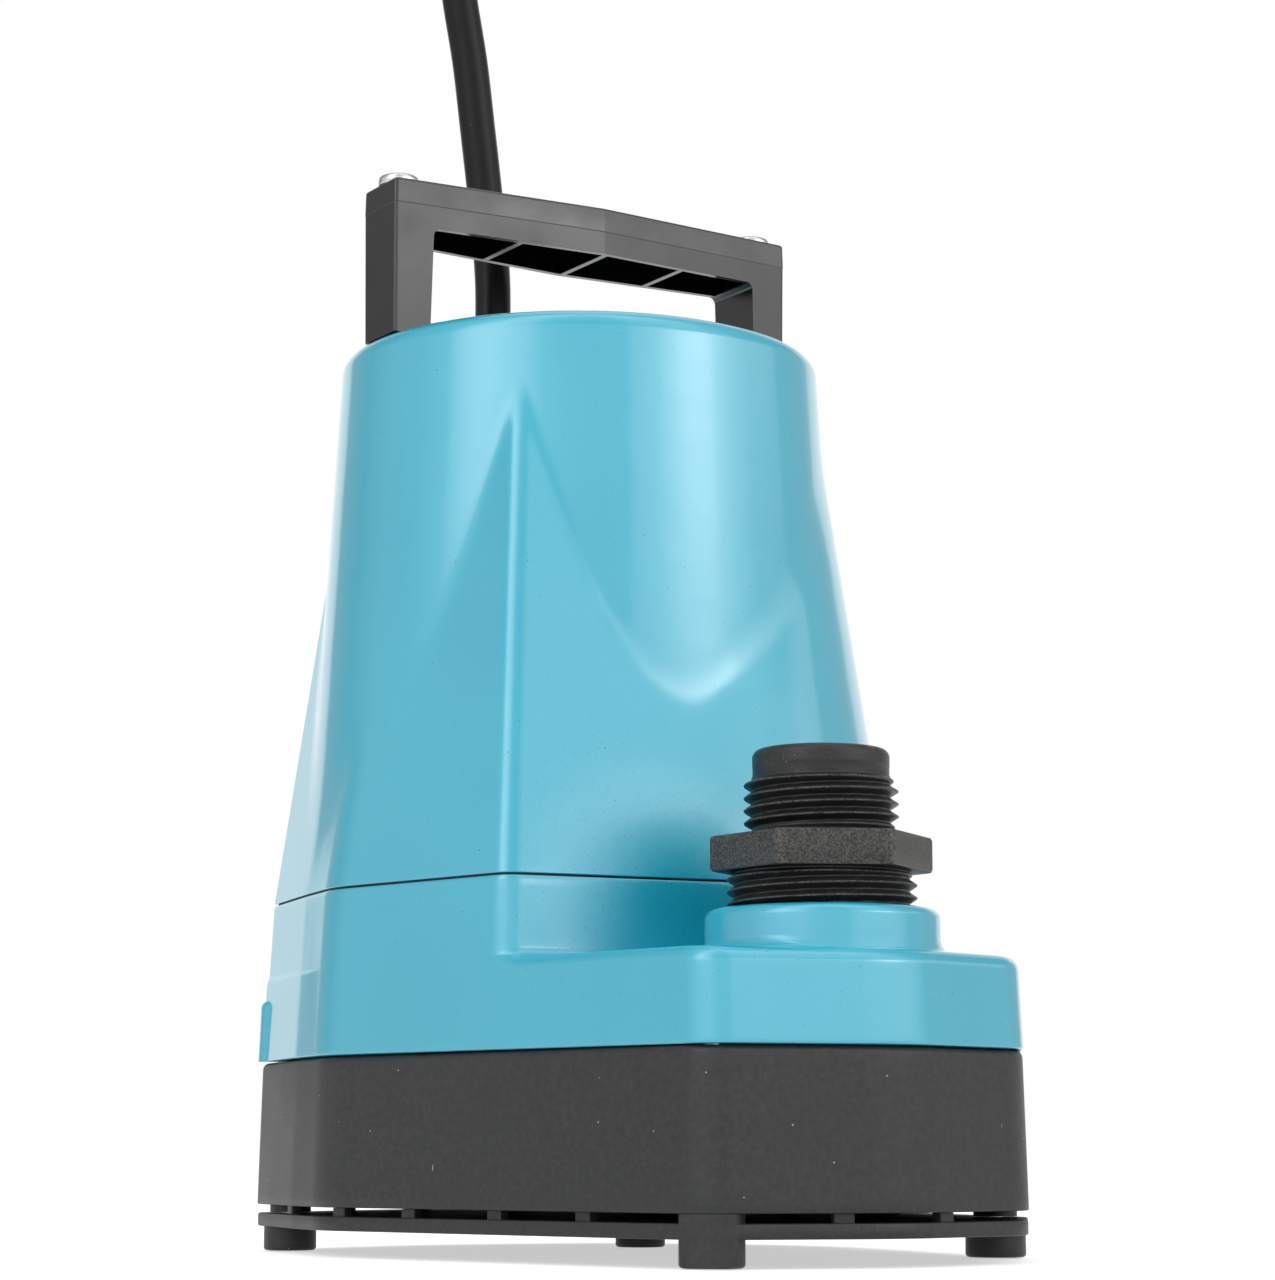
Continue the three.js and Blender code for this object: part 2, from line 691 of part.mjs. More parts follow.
function housingScrews() {
  return HOUSING_SCREWS.map(([x, y], i) =>
    screwFromBelow(`housing_screw_${i + 1}`, x, y, 41, 85, 1.9, 3.8),
  );
}

function dischargeAdapter() {
  const body = turned(
    [
      [ADAPTER_BORE, 47.5],
      [PIPE_THREAD_RADIUS - 1, 47.5],
      [PIPE_THREAD_RADIUS, 49],
      [PIPE_THREAD_RADIUS, 66.8],
      [15.4, 66.8],
      [15.4, 73.2],
      [HOSE_THREAD_RADIUS - 1.6, 73.2],
      [HOSE_THREAD_RADIUS, 74.6],
      [HOSE_THREAD_RADIUS, 82.2],
      [PILOT_RADIUS, 83],
      [PILOT_RADIUS, PILOT_TOP - 1.6],
      [PILOT_RADIUS - 0.5, PILOT_TOP - 0.5],
      [PILOT_RADIUS - 1.5, PILOT_TOP],
      [ADAPTER_BORE + 0.6, PILOT_TOP],
      [ADAPTER_BORE, PILOT_TOP - 0.6],
    ],
    24,
  );
  const corners = Array.from({ length: 6 }, (_, i) => {
    const angle = rad(HEX_TURN + 60 * i);
    const reach = HEX_CORNER_RADIUS - HEX_ROUNDING;
    return { x: reach * Math.cos(angle), y: reach * Math.sin(angle), r: HEX_ROUNDING, steps: 2 };
  });
  const hex = prism(belt(corners), 66.7, 73).subtract(rod(ADAPTER_BORE, 60, 80, 0, 0, 24));
  const mesh = piece("discharge_adapter", body.add(hex), "black");
  mesh.position.set(DISCHARGE.x, DISCHARGE.y, 0);
  return mesh;
}

// ---------------------------------------------------------------- motor and impeller

function bearing(name, low) {
  const { outer, height } = BEARING;
  const high = low + height;
  const solid = turned(
    [
      [SHAFT_RADIUS + 0.08, low],
      [8, low],
      [8.4, low + 0.8],
      [11.6, low + 0.8],
      [12, low],
      [outer, low],
      [outer, high],
      [SHAFT_RADIUS + 0.08, high],
    ],
    TURNED,
  );
  return piece(name, solid, "steel");
}

function statorCore() {
  const { low, high, outer, bore, slots } = STATOR;
  const slot = new THREE.Shape()
    .moveTo(bore - 1, -1.2)
    .lineTo(bore + 1.6, -1.2)
    .lineTo(bore + 3, -2.6)
    .lineTo(outer - 8, -4.2)
    .absarc(outer - 8, 0, 4.2, -Math.PI / 2, Math.PI / 2)
    .lineTo(bore + 3, 2.6)
    .lineTo(bore + 1.6, 1.2)
    .lineTo(bore - 1, 1.2);
  const tools = Array.from({ length: slots }, (_, i) => {
    const settings = { depth: high - low + 2, bevelEnabled: false, curveSegments: 2 };
    const made = new THREE.ExtrudeGeometry(slot, settings);
    return solidOf(made.rotateZ((2 * Math.PI * i) / slots), at(0, 0, low - 1));
  });
  return piece("stator_core", cut(ring(outer, bore, low, high, 0, 0, 36), tools), "laminate");
}

function winding(name, low, high) {
  const [inner, outer] = [STATOR.bore + 3, STATOR.outer - 4];
  const solid = turned(
    [
      [inner + 2, low],
      [outer - 2, low],
      [outer, low + 3],
      [outer, high - 3],
      [outer - 2, high],
      [inner + 2, high],
      [inner, high - 3],
      [inner, low + 3],
    ],
    TURNED,
  );
  return piece(name, solid, "copper");
}

function rotorCore() {
  const { low, high, radius } = ROTOR;
  const bore = ROTOR_SHAFT_RADIUS + 0.15;
  const solid = turned(
    [
      [bore, low],
      [radius - 8, low],
      [radius - 8, low - 6],
      [radius - 1.5, low - 6],
      [radius, low - 4],
      [radius, high + 4],
      [radius - 1.5, high + 6],
      [radius - 8, high + 6],
      [radius - 8, high],
      [bore, high],
    ],
    TURNED,
  );
  return piece("rotor_core", solid, "laminate");
}

function shaft() {
  const stub = 3.9;
  const solid = turned(
    [
      [0, 13.9],
      [stub - 0.6, 13.9],
      [stub, 14.6],
      [stub, 20.2],
      [SHAFT_RADIUS, 20.2],
      [SHAFT_RADIUS, 62],
      [ROTOR_SHAFT_RADIUS, 62],
      [ROTOR_SHAFT_RADIUS, 150],
      [SHAFT_RADIUS, 150],
      [SHAFT_RADIUS, 166.4],
      [SHAFT_RADIUS - 0.6, 167],
      [0, 167],
    ],
    TURNED,
  );
  return piece("motor_shaft", solid, "steel");
}

// One vane curves back from the eye to the rim: its angle falls steadily as its radius grows.
function vane(turn) {
  const { radius, eye, vane: thick, low, top, shroud } = IMPELLER;
  const steps = 7;
  const sweep = rad(62);
  const side = (sign) =>
    Array.from({ length: steps + 1 }, (_, i) => {
      const share = i / steps;
      const r = eye - 2 + (radius - eye + 1.9) * share;
      const angle = turn - sweep * Math.sqrt(share) + (sign * thick) / 2 / r;
      return new THREE.Vector2(r * Math.cos(angle), r * Math.sin(angle));
    });
  return prism([...side(-1), ...side(1).reverse()], low, top - shroud + 0.5);
}

function impeller() {
  const { radius, hub, top, shroud, vanes } = IMPELLER;
  const plate = turned(
    [
      [0, top - shroud],
      [radius, top - shroud],
      [radius, top],
      [0, top],
    ],
    36,
  );
  const barrel = turned([[0, 20.6], [hub - 1.5, 20.6], [hub + 2, top - shroud + 0.5], [0, top - 1]], 20);
  const blades = Array.from({ length: vanes }, (_, i) => vane((2 * Math.PI * i) / vanes));
  const bore = rod(SHAFT_RADIUS + 0.15, 0, 60, 0, 0, 24);
  return piece("impeller", union([plate, barrel, ...blades]).subtract(bore), "black");
}

function impellerNut() {
  const points = Array.from({ length: 6 }, (_, i) => {
    const angle = (Math.PI * i) / 3;
    return new THREE.Vector2(7.4 * Math.cos(angle), 7.4 * Math.sin(angle));
  });
  const nut = prism(points, 14.2, 19.4).add(rod(7.8, 19, 20.1));
  return piece("impeller_nut", nut.subtract(rod(4.05, 10, 22, 0, 0, 24)), "steel");
}

function sealHead() {
  const solid = turned(
    [
      [SHAFT_RADIUS + 0.12, 35.3],
      [9.4, 35.3],
      [9.4, 38],
      [7.6, 38.6],
      [8.8, 39.6],
      [8.8, 42.4],
      [SHAFT_RADIUS + 0.12, 42.4],
    ],
    TURNED,
  );
  return piece("seal_head", solid, "rubber");
}

function sealSeat() {
  return piece("seal_seat", ring(12.2, 6, 42.7, 46.7), "ceramic");
}

function thermalProtector() {
  const solid = box(22, 9, 148.6, 155.6, 0, 30).subtract(box(14, 3, 153.6, 157, 0, 30));
  return piece("thermal_protector", solid, "black");
}

// ---------------------------------------------------------------- cord, coil and plug

function strainRelief() {
  const { low, flange, root, tip } = RELIEF;
  const hole = CORD / 2 + GAP;
  const solid = turned(
    [
      [0, low],
      [root, low],
      [root, HOUSING_TOP + SEAM],
      [flange, HOUSING_TOP + SEAM],
      [flange, HOUSING_TOP + 2],
      [root, HOUSING_TOP + 3.2],
      [hole + 1.1, CORD_EXIT.z - 0.6],
      [tip, CORD_EXIT.z],
      [0, CORD_EXIT.z],
    ],
    14,
    CORD_EXIT.x,
    CORD_EXIT.y,
  );
  return piece("cord_strain_relief", solid, "rubber");
}

// A round tube along hand-chosen points, closed at both ends, with a step about every 2.5 diameters.
function looseCord(name, points) {
  const curve = new THREE.CatmullRomCurve3(points, false, "centripetal");
  const section = new THREE.Shape();
  for (let i = 0; i < CORD_SIDES; i += 1) {
    const angle = (2 * Math.PI * (i + 0.5)) / CORD_SIDES;
    const [x, y] = [(CORD / 2) * Math.cos(angle), (CORD / 2) * Math.sin(angle)];
    if (i === 0) section.moveTo(x, y);
    else section.lineTo(x, y);
  }
  const length = curve.getLength();
  const settings = { steps: Math.ceil(length / CORD / 2.2), bevelEnabled: false, extrudePath: curve };
  cordLength += length;
  return piece(name, solidOf(new THREE.ExtrudeGeometry(section, settings)), "cord");
}

// The coil's centreline, clockwise seen from above: it lands on the top layer, spirals in at a steady rate,
// reverses and spirals out, and goes down a layer in the half turn round each reversal.
function coilPoint(turn) {
  const { x, y, inner, pitch, layers, turns, low } = COIL;
  const phase = Math.abs((turn % (2 * turns)) - turns);
  const r = inner + pitch * phase;
  let z = low + pitch * (layers - 1);
  for (let reversal = 1; reversal < layers; reversal += 1) {
    z -= pitch * THREE.MathUtils.clamp((turn - reversal * turns + 0.25) / 0.5, 0, 1);
  }
  const angle = COIL_START - 2 * Math.PI * turn;
  return new THREE.Vector3(x + r * Math.cos(angle), y + r * Math.sin(angle), z);
}

function coilHeading(turn) {
  const angle = COIL_START - 2 * Math.PI * turn;
  return new THREE.Vector3(Math.sin(angle), -Math.cos(angle), 0);
}

// The loops, with a straight piece of one cord diameter at each end.
function coilPoints() {
  const total = COIL.layers * COIL.turns;
  const steps = Math.round(total * COIL.steps);
  const loops = Array.from({ length: steps + 1 }, (_, i) => coilPoint((total * i) / steps));
  const first = loops[0].clone().addScaledVector(coilHeading(0), -CORD);
  const last = loops[steps].clone().addScaledVector(coilHeading(total), CORD);
  return [first, ...loops, last];
}

// One unbroken tube through the points, with rings that stay upright.
function coil(points) {
  const up = new THREE.Vector3(0, 0, 1);
  const positions = points.flatMap((point, i) => {
    const before = points[Math.max(0, i - 1)];
    const after = points[Math.min(points.length - 1, i + 1)];
    const side = after.clone().sub(before).cross(up).normalize();
    return Array.from({ length: COIL.sides }, (_, k) => {
      const angle = (2 * Math.PI * (k + 0.5)) / COIL.sides;
      const out = side.clone().multiplyScalar((Math.cos(angle) * CORD) / 2);
      return out.addScaledVector(up, (Math.sin(angle) * CORD) / 2).add(point).toArray();
    }).flat();
  });
  const { sides } = COIL;
  const index = [];
  for (let i = 0; i + 1 < points.length; i += 1) {
    for (let k = 0; k < sides; k += 1) {
      const a = i * sides + k;
      const b = i * sides + ((k + 1) % sides);
      index.push(a, b, b + sides, a, b + sides, a + sides);
    }
  }
  const last = (points.length - 1) * sides;
  for (let k = 1; k + 1 < sides; k += 1) {
    index.push(0, k + 1, k, last, last + k, last + k + 1);
  }
  const made = new THREE.BufferGeometry();
  made.setAttribute("position", new THREE.Float32BufferAttribute(positions, 3));
  made.setIndex(index);
  return piece("cord_coil", solidOf(made), "cord");
}

// The least clear distance between turns, measured on the centreline's points.
function leastGap(points) {
  let least = Infinity;
  const apart = Math.ceil(COIL.steps / 3);
  points.forEach((p, i) => {
    for (let j = i + apart; j < points.length; j += 1) least = Math.min(least, p.distanceTo(points[j]));
  });
  return least - CORD;
}

// A strap round the bundle of turns.
function coilTie() {
  const { x, y, inner, low } = COIL;
  const half = CORD / 2;
  const r = 2.5;
  const frame = (grow) => {
    const [left, right] = [inner - half - GAP - grow, COIL_OUTER + half + GAP + grow];
    const [bottom, top] = [low - half - 0.2 - grow, COIL_TOP + half + 0.2 + grow];
    const corners = [
      [right - r, bottom + r],
      [right - r, top - r],
      [left + r, top - r],
      [left + r, bottom + r],
    ];
    return belt(corners.map(([cx, cy]) => ({ x: cx, y: cy, r, steps: 3 })));
  };
  const strap = prism(frame(1.1), -6, 6).subtract(prism(frame(0), -7, 7));
  const mesh = piece("cord_tie", strap, "rubber");
  mesh.geometry.rotateX(Math.PI / 2);
  mesh.rotation.z = TIE_TURN;
  mesh.position.set(x, y, 0);
  return mesh;
}

// The moulded plug, drawn with its axis along z from the cord to the blades, x up and y across.
function plugPieces() {
  const section = (z, high, wide, r) => {
    const [u, v] = [high - r, wide - r];
    const corners = [
      [u, -v],
      [u, v],
      [-u, v],
      [-u, -v],
    ];
    return { z, points: belt(corners.map(([x, y]) => ({ x, y, r, steps: 4 }))) };
  };
  const face = PLUG.length;
  const body = loft([
    section(0, 5.3, 5.3, 5.2),
    section(14, 6.6, 6.8, 6.4),
    section(15.5, 9.4, 10, 7),
    section(21, 11.4, 11.4, 7),
    section(29, 11, 10.8, 7),
    section(37, PLUG.half, 13.5, 7),
    section(face - 1, PLUG.half, 13.5, 7),
    section(face, PLUG.half - 1, 12.5, 6.5),
  ]);
  const blades = [-1, 1].map((side, i) => {
    const blade = box(6.35, 1.5, face + GAP, face + 17.5, PLUG.bladeRow, side * 6.35);
    return piece(`plug_blade_${i + 1}`, blade, "brass");
  });
  const pin = turned(
    [
      [0, face + GAP],
      [2.4, face + GAP],
      [2.4, face + 18],
      [1.2, face + 20.2],
      [0, face + 20.2],
    ],
    16,
    PLUG.bladeRow + 11.9,
  );
  const parts = [piece("plug_body", body, "black"), ...blades, piece("plug_ground_pin", pin, "brass")];
  const plug = new THREE.Group();
  plug.add(...parts);
  plug.rotation.set(0, -Math.PI / 2, Math.PI / 2, "ZYX");
  plug.position.copy(TAIL_END).add(new THREE.Vector3(0, -GAP, 0));
  return plug;
}

// ---------------------------------------------------------------- assembly

const pump = new THREE.Group();
pump.add(
  upperHousing(),
  housingGasket(),
  lowerHousing(),
  volute(),
  voluteSeal(),
  intakePlate(),
  handle(),
  ...handleScrews(),
  ...baseScrews(),
  ...housingScrews(),
  dischargeAdapter(),
  bearing("lower_bearing", LOWER_BEARING),
  bearing("upper_bearing", UPPER_BEARING),
  statorCore(),
  winding("lower_winding", 76, STATOR.low - GAP),
  winding("upper_winding", STATOR.high + GAP, 148),
  thermalProtector(),
  sealSeat(),
  strainRelief(),
);

const rotor = new THREE.Group();
rotor.add(rotorCore(), shaft(), impeller(), impellerNut(), sealHead());
pump.add(rotor);

const footprint = new THREE.Box3().setFromObject(pump, true);

const turns = coilPoints();
const vectors = (list) => list.map(([x, y, z]) => new THREE.Vector3(x, y, z));
const tailHeading = coilHeading(COIL.layers * COIL.turns);
const tailStart = [GAP, CORD].map((beyond) => turns.at(-1).clone().addScaledVector(tailHeading, beyond));
const tailPoints = [...tailStart, ...vectors(TAIL), TAIL_END];
let cordLength = 0;
const lead = new THREE.Group();
lead.add(
  looseCord("cord_lead", vectors(LEAD)),
  coil(turns),
  looseCord("cord_tail", tailPoints),
  coilTie(),
  plugPieces(),
);
pump.add(lead);
turns.slice(1).forEach((p, i) => (cordLength += p.distanceTo(turns[i])));
const apart = leastGap(turns).toFixed(2);
console.log(`cord length ${cordLength.toFixed(0)} mm, least gap between turns ${apart} mm`);

const centre = footprint.getCenter(new THREE.Vector3());
pump.position.set(-centre.x, -centre.y, -footprint.min.z);

export default pump;
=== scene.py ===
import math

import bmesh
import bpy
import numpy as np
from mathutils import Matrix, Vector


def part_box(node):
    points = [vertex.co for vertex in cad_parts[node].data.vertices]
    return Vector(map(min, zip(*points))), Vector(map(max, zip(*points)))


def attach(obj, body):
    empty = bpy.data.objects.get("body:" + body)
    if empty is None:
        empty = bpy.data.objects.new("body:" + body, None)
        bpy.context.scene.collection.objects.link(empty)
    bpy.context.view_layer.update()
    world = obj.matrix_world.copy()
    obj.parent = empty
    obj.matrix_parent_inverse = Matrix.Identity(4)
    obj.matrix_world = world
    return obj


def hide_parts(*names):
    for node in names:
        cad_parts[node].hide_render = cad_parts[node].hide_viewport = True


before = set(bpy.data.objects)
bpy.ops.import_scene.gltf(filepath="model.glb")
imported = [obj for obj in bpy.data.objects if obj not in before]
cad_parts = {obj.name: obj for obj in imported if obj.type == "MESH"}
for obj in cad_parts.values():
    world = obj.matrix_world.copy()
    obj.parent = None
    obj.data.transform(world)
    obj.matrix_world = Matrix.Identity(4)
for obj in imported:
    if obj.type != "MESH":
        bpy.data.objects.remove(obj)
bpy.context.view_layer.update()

# %% [markdown]
# # A submersible utility pump
# The pump is an enamelled aluminium motor housing on a black moulded volute, with a carrying handle, a hose
# adapter and a rubber cord that is coiled for storage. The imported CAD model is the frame: every piece here is
# drawn in its coordinates. Numbers are written in millimetres about the motor's axis, as on a drawing, and one
# function turns them into Blender's metres.

MM = 0.001
shaft_low, shaft_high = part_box("motor_shaft")
AXIS = np.array([(shaft_low.x + shaft_high.x) / 2, (shaft_low.y + shaft_high.y) / 2, 0.0]) / MM


def placed(points):
    """Millimetres about the motor axis to metres in the row frame: add the axis, then scale."""
    return (np.asarray(points, float) + AXIS) * MM


# %% [markdown]
# ## The camera
# The photograph looks up at the pump from close to the floor, at a corner, with a long lens. The standing edges
# of the real pump lean together a little towards the top, so the camera is tilted and not shifted. Its place
# and focal length were worked out from edges whose heights are known in the CAD.

# %% Place the camera
CAMERA_AT = (458.0, -441.4, 18.1)
CAMERA_TILT = 9.11
PICTURE_HEIGHT = 1280
FOCAL_PIXELS = 3218.3
SENSOR = 36.0

camera = bpy.data.objects.new("camera", bpy.data.cameras.new("camera"))
bpy.context.scene.collection.objects.link(camera)
camera.location = placed(CAMERA_AT)
camera.rotation_euler = (math.radians(90 + CAMERA_TILT), 0, math.radians(45))
camera.data.sensor_width = SENSOR
camera.data.lens = FOCAL_PIXELS * SENSOR / PICTURE_HEIGHT
camera.data.clip_start = 0.01
bpy.context.scene.camera = camera
print(f"camera at {[round(v, 4) for v in camera.location]}, lens {camera.data.lens:.2f} mm")

# %% [markdown]
# ## Helpers for meshes
# Almost every piece is a grid: rows of points that go once round, one row after another along a profile. Quads
# between the rows make the surface. A row can shrink to a point, which closes an end, or the last row can meet
# the first, which makes a hollow body with a bore.


# %% Turn rows of points into a closed mesh
def skin(rows, ring=False):
    """Quads between rows of points (rows x columns x 3). Each row is closed; ring joins the last row to the
    first, and otherwise a fan to the row's middle closes each end. Returns points and faces."""
    count, columns = rows.shape[:2]
    points = rows.reshape(-1, 3)
    low = np.arange(count if ring else count - 1)[:, None] * columns
    high = (low + columns) % (count * columns)
    here, beyond = np.arange(columns)[None], (np.arange(columns)[None] + 1) % columns
    quads = np.stack([low + here, low + beyond, high + beyond, high + here], -1).reshape(-1, 4)
    faces = quads.tolist()
    if not ring:
        middles = rows[[0, -1]].mean(1)
        points = np.concatenate([points, middles])
        first, last = count * columns, count * columns + 1
        end = (count - 1) * columns
        here, beyond = here[0], beyond[0]
        faces += np.stack([beyond, here, np.full(columns, first)], -1).tolist()
        faces += np.stack([end + here, end + beyond, np.full(columns, last)], -1).tolist()
    return points, faces


def volume(mesh):
    """Six times the signed volume: the sum of the triple products of the triangles' corners."""
    mesh.calc_loop_triangles()
    corners = np.empty(len(mesh.loop_triangles) * 3, np.int32)
    mesh.loop_triangles.foreach_get("vertices", corners)
    points = np.empty(len(mesh.vertices) * 3)
    mesh.vertices.foreach_get("co", points)
    a, b, c = points.reshape(-1, 3)[corners.reshape(-1, 3)].transpose(1, 0, 2)
    return float((a * np.cross(b, c)).sum())


def solid(name, points, faces):
    """An object from closed faces, in millimetres about the motor axis, with its faces turned outwards."""
    mesh = bpy.data.meshes.new(name)
    mesh.from_pydata(placed(points).tolist(), [], faces)
    if volume(mesh) < 0:
        mesh.flip_normals()
    made = bpy.data.objects.new(name, mesh)
    bpy.context.scene.collection.objects.link(made)
    return made


print("a grid of 2 by 4 points closes with", len(skin(np.zeros((2, 4, 3)))[1]), "faces")


# %% Work out profiles, turned bodies and prisms
CIRCLE = 2 * np.pi
NEAR_AXIS = 0.01  # the radius at which a turned surface ends, just off its axis


def around(count, start=0.0):
    """Equally spaced angles once round."""
    return start + np.arange(count) * CIRCLE / count


def arc(r, z, radius, start, end, steps=6):
    """Profile points on a round: centre plus radius times cosine and sine, degrees from start to end."""
    t = np.radians(np.linspace(start, end, steps + 1))
    return np.stack([r + radius * np.cos(t), z + radius * np.sin(t)], -1)


def profile(*parts):
    """One array of (radius, height) from points and arcs."""
    return np.concatenate([np.atleast_2d(np.asarray(part, float)) for part in parts])


def turned_rows(points, segments=96, x=0.0, y=0.0):
    """Each profile point carried round an upright axis: x + r cos, y + r sin, z."""
    t = around(segments)
    r, z = points[:, :1], points[:, 1:]
    return np.stack([x + r * np.cos(t), y + r * np.sin(t), z + 0 * t], -1)


def turned(name, points, segments=96, x=0.0, y=0.0, ring=False):
    """A turned body from its profile, which runs from one end to the other, or once round for a hollow ring."""
    return solid(name, *skin(turned_rows(points, segments, x, y), ring))


def at_heights(outline, heights):
    """Rows of an outline of (x, y) points, one for each height."""
    return np.stack([np.column_stack([outline, np.full(len(outline), z)]) for z in heights])


def prism(name, outline, low, high):
    """An outline of (x, y) points, seen whole from its middle, between two heights."""
    return solid(name, *skin(at_heights(outline, (low, high))))


print("a quarter round of 1 mm ends at", arc(0, 0, 1, 0, 90)[-1].round(3))


# %% Cut, join and finish pieces
def baked(piece):
    """The piece's mesh with its modifiers applied."""
    bpy.context.view_layer.update()
    result = piece.evaluated_get(bpy.context.evaluated_depsgraph_get())
    piece.data = bpy.data.meshes.new_from_object(result)
    piece.modifiers.clear()
    return piece


def combine(piece, tools, operation="DIFFERENCE"):
    """Cuts the tools out of a piece, or joins them to it, one by one."""
    for tool in tools:
        step = piece.modifiers.new(operation, "BOOLEAN")
        step.operation, step.solver, step.object = operation, "MANIFOLD", tool
        baked(piece)
        bpy.data.objects.remove(tool)
    return piece


def finish(piece, material, nodes=(), body="pump", angle=32):
    """Smooth faces with sharp edges past an angle, the material, the body that carries the piece, and the CAD
    nodes that it replaces."""
    mesh = piece.data
    mesh.materials.clear()
    mesh.materials.append(material)
    mesh.shade_smooth()
    mesh.set_sharp_from_angle(angle=math.radians(angle))
    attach(piece, body)
    if nodes:
        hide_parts(*nodes)
    print(f"{piece.name}: {len(mesh.vertices)} points, {len(mesh.polygons)} faces")
    return piece


print("ready to finish", len(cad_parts), "CAD nodes")

# %% [markdown]
# ## Helpers for materials
# Every finish is a small tree of nodes. One function adds a node with its settings and links, and another sets
# or links the inputs of a node that is there already, so each material reads as a short list of steps. Colours
# are written as sRGB hex, as a paint chart gives them, and turned to linear. Patterns read Object coordinates,
# and their sizes are written in millimetres.


# %% Colours and nodes
FACTOR, UNDER, OVER = 0, 6, 7  # a Mix node's sockets when it mixes colours


def linear(code):
    """sRGB hex to linear RGBA: below 0.04045 divide by 12.92, above it raise to 2.4."""
    part = np.array([int(code[i : i + 2], 16) for i in (1, 3, 5)]) / 255
    low, high = part / 12.92, ((part + 0.055) / 1.055) ** 2.4
    return (*np.where(part <= 0.04045, low, high).tolist(), 1.0)


def connect(tree, node, inputs):
    """Sets or links a node's inputs. A node stands for its first live output, and hex for its linear colour."""
    for socket, value in inputs.items():
        if isinstance(value, bpy.types.Node):
            value = next(output for output in value.outputs if output.enabled)
        if isinstance(value, bpy.types.NodeSocket):
            tree.links.new(value, node.inputs[socket])
        else:
            node.inputs[socket].default_value = linear(value) if isinstance(value, str) else value


def add(tree, kind, inputs=None, stops=(), **settings):
    """Adds a node, sets its properties and a ramp's (place, grey) stops, and sets or links its inputs."""
    made = tree.nodes.new(kind)
    for name, value in settings.items():
        setattr(made, name, value)
    if stops:
        elements = made.color_ramp.elements
        while len(elements) < len(stops):
            elements.new(1.0)
        for element, (place, grey) in zip(elements, sorted(stops)):
            element.position, element.color = place, (grey, grey, grey, 1)
    connect(tree, made, inputs or {})
    return made


def new_material(name):
    """A material with a Principled shader, and the coordinates that its patterns read."""
    made = bpy.data.materials.new(name)
    made.use_nodes = True
    tree = made.node_tree
    where = add(tree, "ShaderNodeTexCoord").outputs["Object"]
    return made, tree, tree.nodes["Principled BSDF"], where


def per_mm(size):
    """The texture scale at which one cell is that many millimetres."""
    return 1 / (size * MM)


def specks(tree, where, spacing, radius, share):
    """Round specks: one in each Voronoi cell, of which only a share is kept. 1 on a speck and 0 off it."""
    cells = add(tree, "ShaderNodeTexVoronoi", {"Vector": where, "Scale": per_mm(spacing)})
    near = add(tree, "ShaderNodeMath", {0: cells.outputs["Distance"], 1: radius / spacing}, operation="LESS_THAN")
    chance = add(tree, "ShaderNodeSeparateColor", {0: cells.outputs["Color"]})
    kept = add(tree, "ShaderNodeMath", {0: chance, 1: share}, operation="LESS_THAN")
    return add(tree, "ShaderNodeMath", {0: near, 1: kept}, operation="MULTIPLY")


print("helpers ready; mid grey is", round(linear("#808080")[0], 4))

# %% [markdown]
# ## Finish of the castings
# The castings are aluminium with a baked epoxy enamel. The gloss is a clear skin over a coloured body, so the
# shader has a coat. The enamel flows out to a fine orange peel, about 1.5 mm from crest to crest, and holds
# small dark pinholes where gas left the casting. Under it the cast skin waves a little. The recess behind the
# discharge is hard to reach with a spray gun, and overspray dries in it as grit, which blurs the mirror image
# of the adapter. Dark dots crowded together in the same recess are painted shade: they stand for the shade and
# the dark reflection that the adapter throws on the wall. A distance from a point there, eased to nothing at
# its edge, says how dry the spray is and how dense the painted shade is.


# %% Blue epoxy enamel on cast aluminium
# middle and reach of the dry spray, and of the painted shade of dark dots behind the discharge
DRY_SPRAY_AND_SHADE_AT = (50.0, -31.0, 69.0)
DRY_AND_SHADE_CORE, DRY_AND_SHADE_EDGE = 11.0, 31.0


